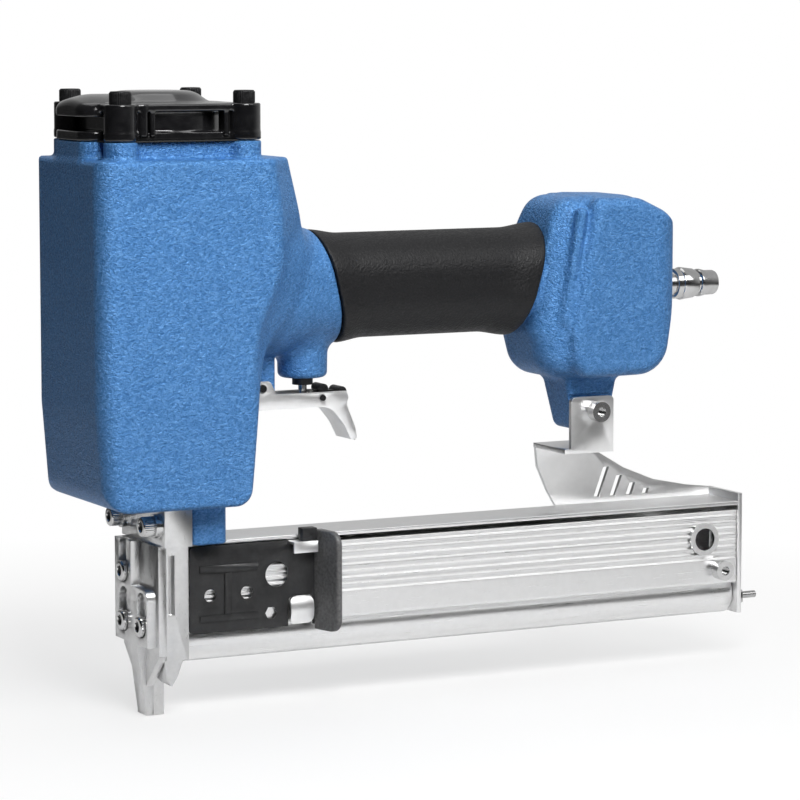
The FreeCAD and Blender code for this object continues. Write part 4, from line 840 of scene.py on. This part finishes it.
def light_world():
    """White to the camera, and to everything else a dim room with one bright side."""
    world = bpy.data.worlds.new("studio")
    bpy.context.scene.world = world
    world.use_nodes = True
    tree = Tree(world.node_tree)
    inputs = {0: tree.node("ShaderNodeTexCoord").outputs["Generated"], 1: BRIGHT_SIDE}
    facing = tree.node("ShaderNodeVectorMath", inputs, operation="DOT_PRODUCT")
    share = tree.spread(facing.outputs["Value"], -1, 1, 0, 1)
    room = tree.nodes["Background"]
    room.inputs["Strength"].default_value = ROOM_STRENGTH
    greys = [(place, (grey,) * 3) for place, grey in ROOM_GREYS]
    tree.link(tree.ramp(share, greys), room.inputs["Color"])
    white = tree.node("ShaderNodeBackground", {"Color": (1, 1, 1, 1), "Strength": 1.0})
    seen = tree.node("ShaderNodeLightPath").outputs["Is Camera Ray"]
    mix = tree.node("ShaderNodeMixShader", {0: seen, 1: room.outputs[0], 2: white.outputs[0]})
    tree.link(mix.outputs[0], tree.nodes["World Output"].inputs["Surface"])


def floor_material():
    """Pale to the camera, fading to white light, and dim to scattered light and far mirrors."""
    material = bpy.data.materials.new("pale_floor")
    material.use_nodes = True
    tree = Tree(material.node_tree)
    path = tree.node("ShaderNodeLightPath").outputs
    inputs = {0: tree.node("ShaderNodeTexCoord").outputs["Object"], 1: (0.1, 0, 0)}
    away = tree.node("ShaderNodeVectorMath", inputs, operation="DISTANCE").outputs["Value"]
    far = tree.spread(away, 0.50, 0.80, 0.0, 1.0)
    dim = tree.maths("MAXIMUM", far, path["Is Diffuse Ray"])
    unseen = tree.maths("SUBTRACT", dim, path["Is Camera Ray"], use_clamp=True)
    base = tree.nodes["Principled BSDF"]
    base.inputs["Roughness"].default_value = 0.9
    base.inputs["Specular IOR Level"].default_value = 0.1
    shade = tree.spread(unseen, 0.0, 1.0, FLOOR_PALE, FLOOR_DIM)
    tree.link(shade, base.inputs["Base Color"])
    fade = tree.spread(away, 0.05, 0.45, 0.55, 1.0)
    share = tree.maths("MULTIPLY", fade, path["Is Camera Ray"])
    glow = tree.node("ShaderNodeEmission").outputs[0]
    mix = tree.node("ShaderNodeMixShader", {0: share, 1: base.outputs[0], 2: glow})
    tree.link(mix.outputs[0], tree.nodes["Material Output"].inputs["Surface"])
    return material


def lay_floor():
    """A round floor just under the object."""
    angles = [math.tau * i / FLOOR_SIDES for i in range(FLOOR_SIDES)]
    rim = [
        (FLOOR_RADIUS * math.cos(angle), FLOOR_RADIUS * math.sin(angle), FLOOR_LEVEL)
        for angle in angles
    ]
    floor = new_object("floor", rim, [tuple(range(FLOOR_SIDES))])
    floor.data.materials.append(floor_material())


def set_stage():
    bpy.context.scene.view_settings.view_transform = "Standard"
    place_camera()
    light_world()
    lay_floor()
    for name, (place, size, power) in LAMPS.items():
        soft_lamp(name, place, size, power)


# ---------------------------------------------------------------- making

set_stage()
finish_nodes()
make_housing()
make_rear_block()
make_grip()
make_cap()
make_magazine()
make_guard()
make_plug()
make_screws()
for sharp_node in SOFT_EDGED:
    soften(sharp_node)
